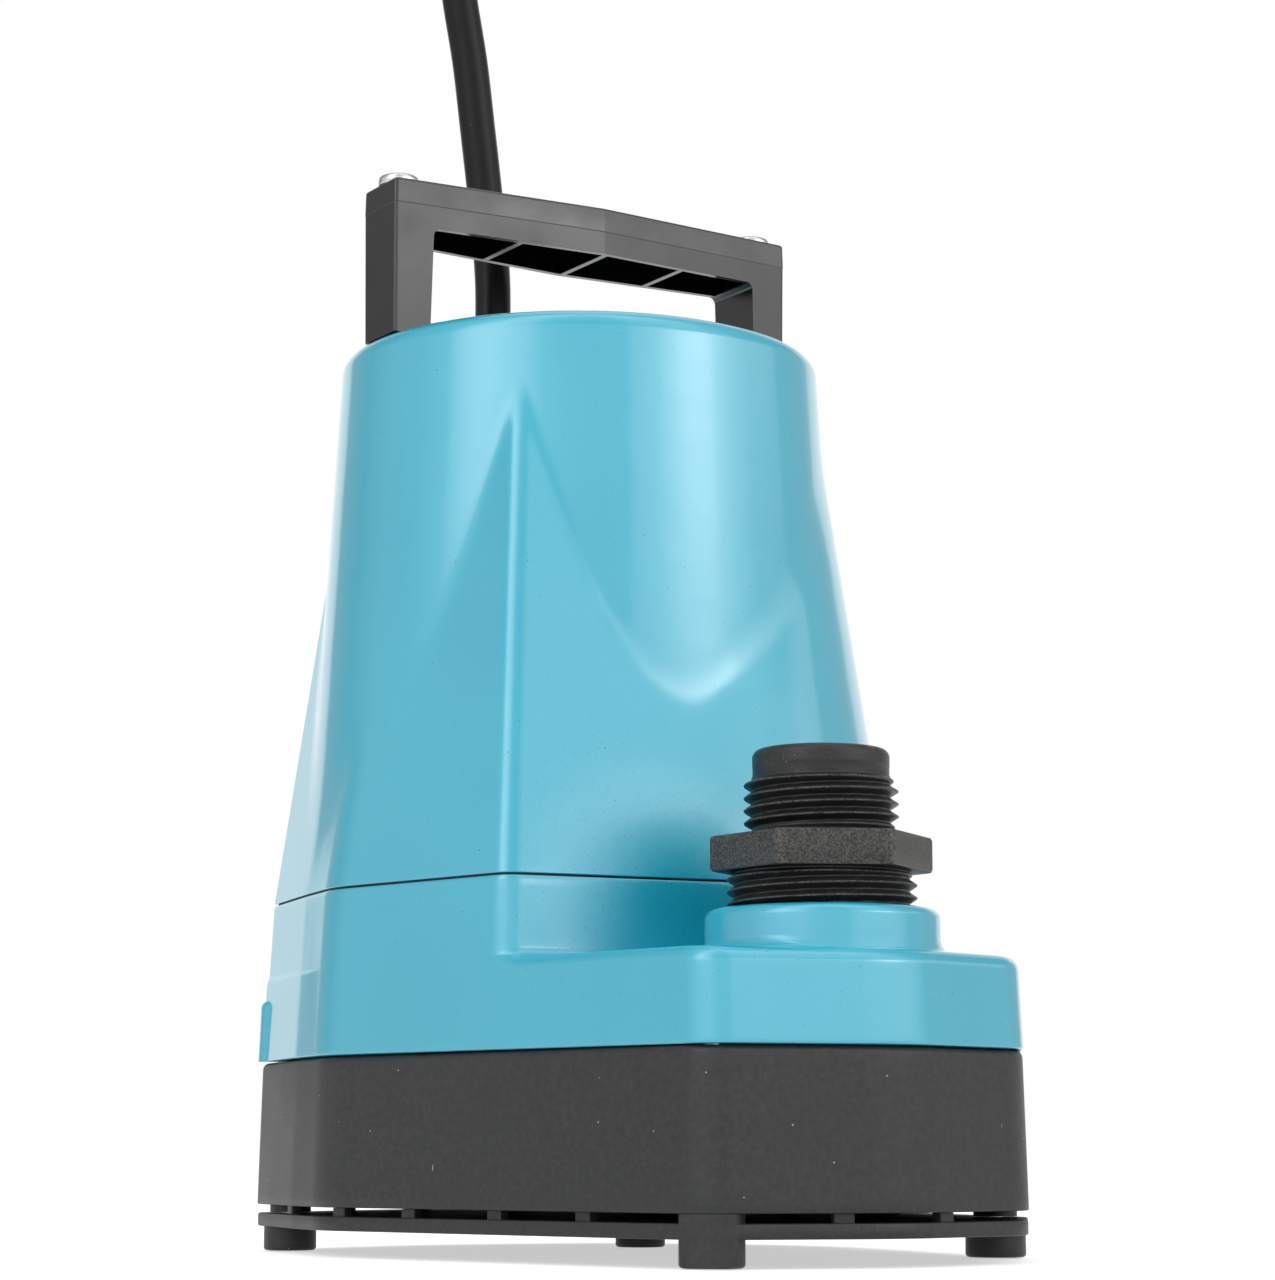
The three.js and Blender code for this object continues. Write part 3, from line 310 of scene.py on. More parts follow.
def blue_enamel():
    """To the eye: an even light blue under clear, slightly rippled reflections, with a few dark pinholes."""
    made, tree, shader, where = new_material("blue_epoxy_enamel")

    # a film that varies in thickness, in broad soft patches, and pinholes
    film = add(tree, "ShaderNodeTexNoise", {"Vector": where, "Scale": per_mm(45)})
    thick = add(tree, "ShaderNodeValToRGB", {0: film}, [(0.35, 0.0), (0.65, 1.0)])
    colour = add(tree, "ShaderNodeMix", {FACTOR: thick, UNDER: "#10abc6", OVER: "#18b0ca"}, data_type="RGBA")
    pinholes = specks(tree, where, 3.4, 0.16, 0.32)
    colour = add(tree, "ShaderNodeMix", {FACTOR: pinholes, UNDER: colour, OVER: "#0c5c70"}, data_type="RGBA")

    # dark dots crowd behind the discharge as painted shade; the same share drives the dry-spray grit below
    away = add(tree, "ShaderNodeVectorMath", {0: where, 1: placed(DRY_SPRAY_AND_SHADE_AT).tolist()}, operation="DISTANCE")
    dry_and_shade = add(tree, "ShaderNodeMapRange", {0: away, 1: DRY_AND_SHADE_CORE * MM, 2: DRY_AND_SHADE_EDGE * MM, 3: 1.0, 4: 0.0},
              interpolation_type="SMOOTHSTEP")
    shade_crowding = add(tree, "ShaderNodeMapRange", {0: dry_and_shade, 3: 0.1, 4: 0.8})
    shade_dots = specks(tree, where, 0.8, 0.1, shade_crowding)
    colour = add(tree, "ShaderNodeMix", {FACTOR: shade_dots, UNDER: colour, OVER: "#0b5468"}, data_type="RGBA")

    # relief: the cast skin, the orange peel on it, and the grit
    cast_waves = add(tree, "ShaderNodeTexNoise", {"Vector": where, "Scale": per_mm(9), "Detail": 1.0})
    cast = add(tree, "ShaderNodeBump", {"Height": cast_waves, "Distance": 0.05 * MM})
    peel_waves = add(tree, "ShaderNodeTexNoise", {"Vector": where, "Scale": per_mm(1.5), "Detail": 1.0})
    peel = add(tree, "ShaderNodeBump", {"Height": peel_waves, "Distance": 0.0045 * MM, "Normal": cast})
    grains = add(tree, "ShaderNodeTexNoise", {"Vector": where, "Scale": per_mm(0.16), "Detail": 1.0})
    grit = add(tree, "ShaderNodeMath", {0: grains, 1: dry_and_shade}, operation="MULTIPLY")
    surface = add(tree, "ShaderNodeBump", {"Height": grit, "Distance": 0.036 * MM, "Normal": peel})

    connect(tree, shader, {"Base Color": colour, "Normal": surface, "Coat Normal": surface, "Roughness": 0.34,
                           "IOR": 1.5, "Coat Weight": 1.0, "Coat Roughness": 0.06, "Coat IOR": 1.62})
    return made


ENAMEL = blue_enamel()
print("made", ENAMEL.name)

# %% [markdown]
# ## Finish of the volute and the plate
# Both are black glass-filled nylon, moulded with a matt skin. The glass comes to the surface here and there and
# makes a mottle, which is finer than a pixel in life and is drawn 1.2 mm across so that it shows. A pump that has
# stood on a shelf holds dust: small pale dots, a few larger grains, and lint, which is the same kind of dot
# drawn out along a slanting direction.


# %% Matt black moulded plastic with dust
def volute_plastic():
    """To the eye: a matt dark grey with hardly any reflection, a faint mottle, and pale dust."""
    made, tree, shader, where = new_material("black_moulded_volute")
    cloud = add(tree, "ShaderNodeTexNoise", {"Vector": where, "Scale": per_mm(26), "Detail": 3.0})
    drift = add(tree, "ShaderNodeValToRGB", {0: cloud}, [(0.3, 0.0), (0.7, 1.0)])
    colour = add(tree, "ShaderNodeMix", {FACTOR: drift, UNDER: "#202123", OVER: "#27282a"}, data_type="RGBA")
    glass = add(tree, "ShaderNodeTexNoise", {"Vector": where, "Scale": per_mm(1.2), "Detail": 3.0,
                                             "Roughness": 0.65})
    mottle = add(tree, "ShaderNodeValToRGB", {0: glass}, [(0.35, 0.0), (0.7, 1.0)])
    colour = add(tree, "ShaderNodeMix", {FACTOR: mottle, UNDER: colour, OVER: "#313131"}, data_type="RGBA")

    drawn_out = add(tree, "ShaderNodeMapping", {"Vector": where, "Scale": (1.0, 1.0, 0.28),
                                                "Rotation": (0.5, 0.35, 0.2)})
    for dust, tone in [(specks(tree, where, 1.7, 0.09, 0.22), "#5f5e5b"),
                       (specks(tree, where, 4.0, 0.16, 0.4), "#a5a299"),
                       (specks(tree, drawn_out, 6.0, 0.17, 0.35), "#8c8a83")]:
        colour = add(tree, "ShaderNodeMix", {FACTOR: dust, UNDER: colour, OVER: tone}, data_type="RGBA")

    spark = add(tree, "ShaderNodeTexNoise", {"Vector": where, "Scale": per_mm(0.7)})
    surface = add(tree, "ShaderNodeBump", {"Height": spark, "Distance": 0.012 * MM})
    rough = add(tree, "ShaderNodeMapRange", {0: cloud, 1: 0.3, 2: 0.7, 3: 0.4, 4: 0.5})
    connect(tree, shader, {"Base Color": colour, "Normal": surface, "Roughness": rough, "IOR": 1.4})
    return made


VOLUTE_PLASTIC = volute_plastic()
print("made", VOLUTE_PLASTIC.name)

# %% [markdown]
# ## Finish of the handle
# The handle comes from a smoother tool than the volute. Its thick posts shrank a little as they cooled, so its
# flats are not quite flat, and the lights show in them as clouds. A slow bump stands for the shrinkage, a noise
# moves the roughness between two values, and a few small dents are specks pressed inwards.


# %% Satin black handle plastic with cloudy sheen
def handle_plastic():
    """To the eye: near black, with a grey sheen on every side that faces a light, cloudy and slightly uneven."""
    made, tree, shader, where = new_material("satin_black_handle")
    cloud = add(tree, "ShaderNodeTexNoise", {"Vector": where, "Scale": per_mm(14), "Detail": 3.0,
                                             "Roughness": 0.55})
    colour = add(tree, "ShaderNodeMix", {FACTOR: cloud, UNDER: "#050505", OVER: "#0c0c0c"}, data_type="RGBA")
    rough = add(tree, "ShaderNodeMapRange", {0: cloud, 1: 0.35, 2: 0.65, 3: 0.12, 4: 0.26})
    shrinkage = add(tree, "ShaderNodeTexNoise", {"Vector": where, "Scale": per_mm(30), "Detail": 1.0})
    sunk = add(tree, "ShaderNodeBump", {"Height": shrinkage, "Distance": 0.18 * MM})
    tool_marks = add(tree, "ShaderNodeTexNoise", {"Vector": where, "Scale": per_mm(1.1)})
    skinned = add(tree, "ShaderNodeBump", {"Height": tool_marks, "Distance": 0.004 * MM, "Normal": sunk})
    dents = specks(tree, where, 7.5, 0.22, 0.3)
    surface = add(tree, "ShaderNodeBump", {"Height": dents, "Distance": -0.05 * MM, "Normal": skinned})
    connect(tree, shader, {"Base Color": colour, "Normal": surface, "Roughness": rough, "IOR": 1.56})
    return made


HANDLE_PLASTIC = handle_plastic()
print("made", HANDLE_PLASTIC.name)

# %% [markdown]
# ## Finish of the adapter
# The adapter is the same kind of plastic, but it is gripped with a wrench and knocked about. Black plastic
# turns pale where it is bruised: in blotches on its flats, and along its corners and thread crests. Pointiness
# finds the corners, and a fine noise breaks both up into specks.


# %% Scuffed black adapter plastic
def adapter_plastic():
    """To the eye: a grainy dark grey, with pale worn specks on the corners, the crests and parts of the flats."""
    made, tree, shader, where = new_material("scuffed_black_adapter")
    fine = add(tree, "ShaderNodeTexNoise", {"Vector": where, "Scale": per_mm(0.4), "Detail": 4.0,
                                            "Roughness": 0.6})
    colour = add(tree, "ShaderNodeMix", {FACTOR: fine, UNDER: "#121212", OVER: "#1d1d1c"}, data_type="RGBA")

    broad = add(tree, "ShaderNodeTexNoise", {"Vector": where, "Scale": per_mm(7.5)})
    blotches = add(tree, "ShaderNodeValToRGB", {0: broad}, [(0.54, 0.0), (0.7, 0.7)])
    sparse = add(tree, "ShaderNodeValToRGB", {0: fine}, [(0.56, 0.0), (0.7, 1.0)])
    worn = add(tree, "ShaderNodeMath", {0: blotches, 1: sparse}, operation="MULTIPLY")
    corners = add(tree, "ShaderNodeNewGeometry").outputs["Pointiness"]
    edges = add(tree, "ShaderNodeValToRGB", {0: corners}, [(0.51, 0.0), (0.56, 0.55)])
    dense = add(tree, "ShaderNodeValToRGB", {0: fine}, [(0.42, 0.0), (0.6, 1.0)])
    rubbed = add(tree, "ShaderNodeMath", {0: edges, 1: dense}, operation="MULTIPLY")
    scuff = add(tree, "ShaderNodeMath", {0: worn, 1: rubbed}, operation="MAXIMUM")
    colour = add(tree, "ShaderNodeMix", {FACTOR: scuff, UNDER: colour, OVER: "#7a7873"}, data_type="RGBA")

    rough = add(tree, "ShaderNodeMapRange", {0: scuff, 1: 0.0, 2: 1.0, 3: 0.42, 4: 0.75})
    surface = add(tree, "ShaderNodeBump", {"Height": fine, "Distance": 0.008 * MM})
    connect(tree, shader, {"Base Color": colour, "Normal": surface, "Roughness": rough, "IOR": 1.42})
    return made


ADAPTER_PLASTIC = adapter_plastic()
print("made", ADAPTER_PLASTIC.name)

# %% [markdown]
# ## Rubber and metals
# The cord's jacket is extruded rubber: dark, with a soft shine along it and a faint dust. The screws are
# stainless steel, tumbled bright with fine scratches. The pieces inside the housing are never seen from
# outside, but they carry their real finishes too: stacked laminations, enamelled copper wire and so on. One
# function makes every rubber and one every metal, because within each family only colours, gloss and the size
# or the direction of the grain differ. Real scratches and laminations are too fine for the render, so they are
# drawn as coarse as they need to be to show.


# %% Rubber jacket and moulded rubber
def rubber(name, dark, pale, rough, grain, ior):
    """To the eye: soft black with a broad dull shine, faintly cloudy, and a dust mote here and there."""
    made, tree, shader, where = new_material(name)
    cloud = add(tree, "ShaderNodeTexNoise", {"Vector": where, "Scale": per_mm(grain), "Detail": 3.0})
    colour = add(tree, "ShaderNodeMix", {FACTOR: cloud, UNDER: dark, OVER: pale}, data_type="RGBA")
    dust = specks(tree, where, 3.1, 0.11, 0.22)
    colour = add(tree, "ShaderNodeMix", {FACTOR: dust, UNDER: colour, OVER: "#6c6a66"}, data_type="RGBA")
    skin_grain = add(tree, "ShaderNodeTexNoise", {"Vector": where, "Scale": per_mm(0.6)})
    surface = add(tree, "ShaderNodeBump", {"Height": skin_grain, "Distance": 0.008 * MM})
    connect(tree, shader, {"Base Color": colour, "Normal": surface, "Roughness": rough, "IOR": ior})
    return made


JACKET = rubber("extruded_rubber_jacket", "#070707", "#0d0d0d", 0.34, 2.0, 1.28)
SEAL = rubber("moulded_black_rubber", "#0a0a0a", "#121212", 0.55, 4.0, 1.45)
TIE = rubber("tie_rubber", "#141414", "#1e1e1e", 0.6, 1.4, 1.5)
PLUG = rubber("plug_rubber", "#111111", "#1b1b1b", 0.5, 5.0, 1.5)
print("made", JACKET.name, SEAL.name, TIE.name, PLUG.name)


# %% Metals
def metal(name, colour, second, rough, grain, stretch=(1, 1, 1)):
    """To the eye: a bright mirror blurred by its grain, fine scratches that are drawn out along an axis."""
    made, tree, shader, where = new_material(name)
    lines = add(tree, "ShaderNodeMapping", {"Vector": where, "Scale": stretch})
    scratches = add(tree, "ShaderNodeTexNoise", {"Vector": lines, "Scale": per_mm(grain), "Detail": 4.0,
                                                 "Roughness": 0.6})
    tone = add(tree, "ShaderNodeMix", {FACTOR: scratches, UNDER: colour, OVER: second}, data_type="RGBA")
    worked = add(tree, "ShaderNodeMapRange", {0: scratches, 3: rough * 0.8, 4: rough * 1.3})
    surface = add(tree, "ShaderNodeBump", {"Height": scratches, "Distance": 0.004 * MM})
    connect(tree, shader, {"Base Color": tone, "Normal": surface, "Roughness": worked, "Metallic": 1.0})
    return made


STEEL = metal("tumbled_stainless_steel", "#c9c7c3", "#b4b1ac", 0.2, 0.9)
GROUND_STEEL = metal("ground_steel", "#b9babc", "#a2a4a7", 0.22, 0.5, (1, 1, 9))
LAMINATION = metal("stacked_laminations", "#6e7175", "#4c4f52", 0.45, 0.8, (0.15, 0.15, 3))
COPPER = metal("enamelled_copper_wire", "#a9592c", "#6e3518", 0.35, 1.1, (0.2, 0.2, 2.5))
BRASS = metal("rolled_brass", "#cfae6c", "#bf9b58", 0.25, 0.7, (6, 1, 1))
print("made", STEEL.name, GROUND_STEEL.name, LAMINATION.name, COPPER.name, BRASS.name)


# %% Ceramic seal ring, thermal cut-out case and impeller nylon
def plain(name, first, second, rough, grain):
    """To the eye: one even colour with a slow drift in it, and a skin just rough enough to soften the light."""
    made, tree, shader, where = new_material(name)
    cloud = add(tree, "ShaderNodeTexNoise", {"Vector": where, "Scale": per_mm(grain), "Detail": 3.0})
    colour = add(tree, "ShaderNodeMix", {FACTOR: cloud, UNDER: first, OVER: second}, data_type="RGBA")
    skin_grain = add(tree, "ShaderNodeTexNoise", {"Vector": where, "Scale": per_mm(0.5)})
    surface = add(tree, "ShaderNodeBump", {"Height": skin_grain, "Distance": 0.005 * MM})
    connect(tree, shader, {"Base Color": colour, "Normal": surface, "Roughness": rough})
    return made


CERAMIC = plain("fired_alumina", "#e6e1d7", "#dad4c8", 0.3, 3.0)
CUTOUT_CASE = plain("phenolic_case", "#2a221c", "#362c24", 0.5, 2.0)
IMPELLER_PLASTIC = plain("glass_filled_nylon", "#1c1d1f", "#2a2b2d", 0.5, 1.5)
print("made", CERAMIC.name, CUTOUT_CASE.name, IMPELLER_PLASTIC.name)

# %% [markdown]
# ## Pieces that keep their CAD shape
# The motor, the seals, the impeller and the plug's pins are simple turned or flat shapes that the CAD already
# gives in full, so they stay as they are and only get a finish.

# %% Finish the pieces that keep their CAD shape
for cad_finish, nodes in [
    (LAMINATION, ["stator_core", "rotor_core"]),
    (COPPER, ["upper_winding", "lower_winding"]),
    (GROUND_STEEL, ["motor_shaft", "lower_bearing", "upper_bearing"]),
    (IMPELLER_PLASTIC, ["impeller"]),
    (SEAL, ["seal_head", "volute_seal"]),
    (CERAMIC, ["seal_seat"]),
    (CUTOUT_CASE, ["thermal_protector"]),
    (BRASS, ["plug_blade_1", "plug_blade_2", "plug_ground_pin"]),
    (STEEL, ["impeller_nut", *(f"housing_screw_{i}" for i in (1, 2, 3, 4))]),
]:
    for node in nodes:
        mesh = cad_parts[node].data
        mesh.materials.clear()
        mesh.materials.append(cad_finish)
    print(cad_finish.name, "on", ", ".join(nodes))

# %% [markdown]
# ## The cord
# A 10 ft (3.05 m) lead of 7.4 mm rubber cable leaves the top of the housing, rises, arches over under its own
# weight and comes down beside the pump, where the rest is wound into a neat coil in four layers, held by a
# tie, with the plug beside it. The rising part is what the photograph shows. The loose stretches follow listed
# points, and the coil is a formula.

# %% The cord's route
CORD = 7.4
COIL = {"x": 228.0, "y": 7.6, "inner": 33.0, "pitch": 8.0, "layers": 4, "turns": 2.25, "low": 5.0}
COIL_OUTER = COIL["inner"] + COIL["pitch"] * COIL["turns"]
COIL_TOP = COIL["low"] + COIL["pitch"] * (COIL["layers"] - 1)
LANDING = COIL["y"] + COIL_OUTER
CORD_EXIT = (-24.0, -2.0, 191.0)
FALL, BEND = COIL["x"] - 72, 31.0
PLUG_START = np.array([COIL["x"] + 70, COIL["y"] + 14, 12.8])
TAIL_BEND, TAIL_DROP = 30.0, 6.0


def quarter(x, y, z, radius, degrees, step):
    """Points on a quarter round: centre, minus radius times cosine along step, minus radius times sine up."""
    t = np.radians(degrees)
    return [(x - radius * c * step[0], y - radius * s * step[1], z - radius * s * step[2])
            for c, s in zip(np.cos(t), np.sin(t))]


LEAD = [
    (-24, -2, 186), (-24, -2.2, 199), (-24.3, -4, 215), (-24.7, -6, 230), (-25.2, -8, 245), (-25.8, -10.6, 259),
    (-26, -12.2, 271), (-25, -12.5, 285), (-21, -11, 300), (-12, -8, 314), (1, -3.5, 325), (17, 1.5, 332),
    (35, 7, 335), (53, 12.5, 333), (71, 18, 327), (88, 24, 317), (104, 30, 303), (118, 36, 286),
    (130, 41.5, 266), (139, 46.5, 243), (146, 50.5, 219), (151, 54, 193), (154.2, 56.6, 166),
    (155.8, 58.2, 138), (FALL, LANDING, 110), (FALL, LANDING, COIL_TOP + BEND + 20),
    *quarter(FALL + BEND, LANDING, COIL_TOP + BEND, BEND, (0, 30, 60, 90), (1, 0, 1)),
    (COIL["x"] - CORD - 4, LANDING, COIL_TOP), (COIL["x"] - CORD, LANDING, COIL_TOP),
]
print(len(LEAD), "points lead to a coil of radius", COIL_OUTER, "mm")
TAIL = [(COIL["x"] + 20, LANDING, 5.2), (COIL["x"] + 32, LANDING - 0.3, 6)]
for degrees in (70, 50, 30, 12):
    a = math.radians(degrees)
    TAIL.append((PLUG_START[0] - TAIL_BEND * (1 - math.cos(a)), LANDING - TAIL_BEND * (1 - math.sin(a)),
                 PLUG_START[2] - TAIL_DROP * degrees / 80))
TAIL += [(PLUG_START[0], COIL["y"] + 20, PLUG_START[2]), (PLUG_START[0], PLUG_START[1] - 2, PLUG_START[2])]


def smooth_curve(points, spacing=3.0):
    """Centripetal Catmull-Rom through the points: each span's parameter grows with the root of its length, and
    a point is three rounds of straight blends between neighbours."""
    p = np.asarray(points, float)
    p = np.concatenate([2 * p[:1] - p[1:2], p, 2 * p[-1:] - p[-2:-1]])
    knots = np.concatenate([[0], np.cumsum(np.linalg.norm(np.diff(p, axis=0), axis=1) ** 0.5)])
    fine = np.linspace(knots[1], knots[-2], 4000)
    i = np.clip(np.searchsorted(knots, fine, "right") - 1, 1, len(p) - 3)
    t = [knots[i + k - 1] for k in range(4)]
    q = [p[i + k - 1] for k in range(4)]

    def between(a, b, ta, tb):
        return ((tb - fine) / (tb - ta))[:, None] * a + ((fine - ta) / (tb - ta))[:, None] * b

    first = [between(q[k], q[k + 1], t[k], t[k + 1]) for k in range(3)]
    second = [between(first[k], first[k + 1], t[k], t[k + 2]) for k in range(2)]
    return evenly(between(second[0], second[1], t[1], t[2]), spacing)


def evenly(points, spacing):
    """The same line with equal steps along it."""
    far = np.concatenate([[0], np.cumsum(np.linalg.norm(np.diff(points, axis=0), axis=1))])
    wanted = np.linspace(0, far[-1], int(far[-1] / spacing) + 1)
    return np.stack([np.interp(wanted, far, points[:, k]) for k in range(3)], -1)


# %% The coil's formula
def coil_line():
    """Radius swings between the inner and the outer turn at a steady rate, height drops one pitch in the half
    turn round each reversal with an eased step, and the angle falls by a whole circle a turn."""
    turns, pitch = COIL["turns"], COIL["pitch"]
    total = COIL["layers"] * turns
    turn = np.linspace(0, total, 900)
    swing = np.abs(turn % (2 * turns) - turns)
    z = np.full_like(turn, COIL_TOP)
    for reversal in range(1, COIL["layers"]):
        share = np.clip((turn - reversal * turns + 0.25) / 0.5, 0, 1)
        z -= pitch * share * share * (3 - 2 * share)
    angle = np.pi / 2 - CIRCLE * turn
    r = COIL["inner"] + pitch * swing
    return np.stack([COIL["x"] + r * np.cos(angle), COIL["y"] + r * np.sin(angle), z], -1)


loops = coil_line()
heading = loops[-1] - loops[-2]
heading /= np.linalg.norm(heading)
tail = [loops[-1], loops[-1] + heading * CORD, *TAIL]
route = evenly(np.concatenate([smooth_curve(LEAD), loops[1:-1], smooth_curve(tail)]), 2.6)
CORD_LENGTH = np.linalg.norm(np.diff(route, axis=0), axis=1).sum()
print(f"cord route {CORD_LENGTH:.0f} mm in {len(route)} points")


# %% Carry a section along the route
def tube_rows(line, radius, sides=24):
    """A round section along a line. The side vector is carried along by taking out of it, at each step, what
    points along the line, so that the tube doesn't twist."""
    ahead = np.gradient(line, axis=0)
    ahead /= np.linalg.norm(ahead, axis=1, keepdims=True)
    side = np.empty_like(ahead)
    carried = np.array([1.0, 0.0, 0.0])
    for i, along in enumerate(ahead):
        carried = carried - along * (carried @ along)
        carried /= np.linalg.norm(carried)
        side[i] = carried
    other = np.cross(ahead, side)
    t = around(sides)[None, :, None]
    radius = np.broadcast_to(radius, len(line))[:, None, None]
    return line[:, None] + radius * (np.cos(t) * side[:, None] + np.sin(t) * other[:, None])


cord = finish(solid("power_cord", *skin(tube_rows(route, CORD / 2))), JACKET,
              ["cord_lead", "cord_coil", "cord_tail"])

# %% [markdown]
# ## Outlines of the castings
# Seen from above, every outline of this pump is a belt pulled round a few discs: a flat front wall, a near
# corner, a short end and rounded lobes. A belt is easy to work out from its support: in any direction, the
# farthest that the discs reach. A ray from the motor axis leaves the belt where support divided by the cosine
# of the angle between them is least, which gives the outline as a radius for every angle.

# %% Belts round discs, as a radius for each angle
FOOTPRINT = np.array([  # x, y and radius of each disc
    (-1, -32.5, 26.25), (85.6, -49.75, 9), (83.0, -22.2, 25.6), (94, -2, 14), (83.4, 24.8, 5.7), (3.5, 4, 58.5),
    (-36, 42, 7.3), (0, 0, 56.7), (-44.5, -34, 6.9),
])
FLARE_LOW = np.array([
    (-1, -32.5, 25), (38, -53, 4.5), (3.5, 4, 57.3), (-36, 42, 6), (0, 0, 55.2), (-44.4, -34, 5.3),
])
FLARE_HIGH = np.array([
    (-1, -16.1, 25), (23.2, -36.6, 4.5), (5.1, 9.3, 38), (-26, 31, 6), (0, 0, 43), (-30.7, -26.4, 6),
])
SEAM_LEVEL, SEAM_EDGE, FLARE_TOP = 67.7, 67.58, 162.0
NORMALS = np.radians(np.arange(0, 360, 0.25))
GRAZING = 0.05


def tangents(discs):
    """Directions square to each pair's common tangent: along the pair, less a quarter turn, plus the arc sine
    of the difference of radii over the distance."""
    i, j = np.nonzero(~np.eye(len(discs), dtype=bool))
    dx, dy = (discs[j, :2] - discs[i, :2]).T
    lean = (discs[i, 2] - discs[j, 2]) / np.hypot(dx, dy)
    real = np.abs(lean) < 1
    return np.arctan2(dy, dx)[real] - np.pi / 2 + np.arcsin(lean[real])


def reach(discs, angles, inset=0.0):
    """Radius of the belt at each angle: the least, over all normals, of support over cosine."""
    normals = np.concatenate([NORMALS, tangents(discs)])
    support = (discs[:, :1] * np.cos(normals) + discs[:, 1:2] * np.sin(normals) + discs[:, 2:]).max(0) - inset
    facing = np.cos(normals[None] - angles[:, None])
    return np.where(facing > GRAZING, support[None] / np.maximum(facing, GRAZING), np.inf).min(1)


def flare(z):
    """The discs of the housing's flared foot at a height: each slides steadily between two places."""
    return FLARE_LOW + (FLARE_HIGH - FLARE_LOW) * (z - SEAM_LEVEL) / (FLARE_TOP - SEAM_LEVEL)


print("the footprint reaches", reach(FOOTPRINT, np.radians([0.0, 90, 180, 270])).round(1), "mm")


# %% Choose the angles so that tight corners get more of them
def spread(discs_list, count):
    """Angles that share out the outlines' length and turning evenly: the running sum of both, with a little
    added everywhere and the turning evened out over its neighbours, is cut into equal parts."""
    fine = np.linspace(0, CIRCLE, 7201)
    weight = np.full(len(fine) - 1, 0.4 / len(fine))
    for discs in discs_list:
        r = reach(discs, fine)
        points = np.stack([r * np.cos(fine), r * np.sin(fine)], -1)
        step = np.diff(points, axis=0)
        way = np.unwrap(np.arctan2(step[:, 1], step[:, 0]))
        turning = np.abs(np.diff(way, append=way[:1] + CIRCLE))
        weight += np.hypot(*step.T) / 500 + np.convolve(turning, np.ones(31) / 31, "same") / CIRCLE
    total = np.concatenate([[0], np.cumsum(weight)])
    return np.interp(np.arange(count) / count * total[-1], total, fine)


UPPER_ANGLES = spread([flare(SEAM_LEVEL), flare(120)], 640)
LOWER_ANGLES = spread([flare(SEAM_LEVEL), FOOTPRINT], 760)
print("outline at the seam spans", reach(flare(SEAM_LEVEL), np.radians([0.0, 90, 180, 270])).round(1))


def polar_rows(levels, angles):
    """Rows from (radii, height) pairs: radius times cosine and sine of each angle."""
    return np.stack([
        np.stack([r * np.cos(angles), r * np.sin(angles), z + 0 * angles], -1) for r, z in levels
    ])


# %% [markdown]
# ## The upper casting
# The motor housing is a steep cone with a rounded rim. Its foot flares out to the seam, with the flat front
# wall and the corner of the pump's footprint. Where the flare runs into the cone the foundry leaves a fillet,
# so the larger of the two radii is taken with a small smooth blend. Inside it is bored for the stator and the
# upper bearing.

# %% The upper housing
HOUSING_TOP = 176.0
RIM_FILLET = 3.6
CONE_RADIUS, CONE_SLOPE = 47.995, math.tan(math.radians(3.2))
CASTING_WALL = 4.5
FILLET_BLEND = 0.8
MOTOR_ROOM = [(30, 169.5), (42.5, 169.5), (42.5, 142), (46, 141.9), (46, 93)]  # radius and height
SEAM_ROUND = [(0.3, 0.0), (0.1, 0.04), (0.02, 0.16)]  # inset, and how far from the edge


def smooth_max(a, b, width):
    """The larger of two values, with their crossing filled by a parabola of that width."""
    lap = np.maximum(width - np.abs(a - b), 0) / width
    return np.maximum(a, b) + lap * lap * width / 4


def upper_wall(z):
    """The cone's radius grows steadily downwards; the flared foot takes over where it reaches farther."""
    cone = CONE_RADIUS + (HOUSING_TOP - RIM_FILLET - z) * CONE_SLOPE
    foot = reach(flare(z), UPPER_ANGLES)
    return smooth_max(cone, foot, FILLET_BLEND)


def upper_levels():
    """The motor room from the top down, the seam's edge, the wall from the seam up, the rim and the top."""
    foot = upper_wall(SEAM_LEVEL)
    inner = reach(flare(SEAM_LEVEL), UPPER_ANGLES, CASTING_WALL)
    flat = np.zeros_like(foot)
    yield flat + NEAR_AXIS, 169.5
    for r, z in MOTOR_ROOM:
        yield flat + r, z
    yield inner, 84
    yield inner, SEAM_EDGE
    for inset, rise in SEAM_ROUND:
        yield foot - inset, SEAM_EDGE + rise
    for z in np.linspace(SEAM_LEVEL + 0.6, HOUSING_TOP - RIM_FILLET, 84):
        yield upper_wall(z), z
    for r, z in arc(CONE_RADIUS - RIM_FILLET, HOUSING_TOP - RIM_FILLET, RIM_FILLET, 9, 90, 10):
        yield flat + r, z
    for r in (40, 30, 15, NEAR_AXIS):
        yield flat + r, HOUSING_TOP


upper_housing = solid("motor_housing", *skin(polar_rows(upper_levels(), UPPER_ANGLES)))
finish(upper_housing, ENAMEL, ["upper_housing"])

# %% [markdown]
# ## The lower casting
# Below the seam the wall goes straight on down. On the right it meets a ledge, which carries the discharge
# boss, and the ledge turns down into the side of the flange. On the left wall and flange are one face, so
# there is no ledge at all. Both rounds keep their true radius, and where the step is smaller than the two
# radii together, the arcs turn through a smaller angle and meet in a slanting line, as a rolled fillet does.

# %% The lower housing
LEDGE, FLANGE_BOTTOM, GASKET_BOTTOM = 52.6, 36.4, 67.2
FLANGE_DRAFT = math.tan(math.radians(3.1))
FLANGE_GROWTH = 0.4  # its foot stands proud of the volute by this much
INNER_FILLET, OUTER_ROUND = 2.0, 2.6
WALL_TOP = GASKET_BOTTOM - 0.02
BEARING_SEAT = [(5.8, FLANGE_BOTTOM), (5.8, 50), (15.15, 50), (15.15, 60), (19, 60), (19, 44)]
BOTTOM_ROUND = [(0.05, 0.15), (0.3, 0.0), (12, 0.0)]


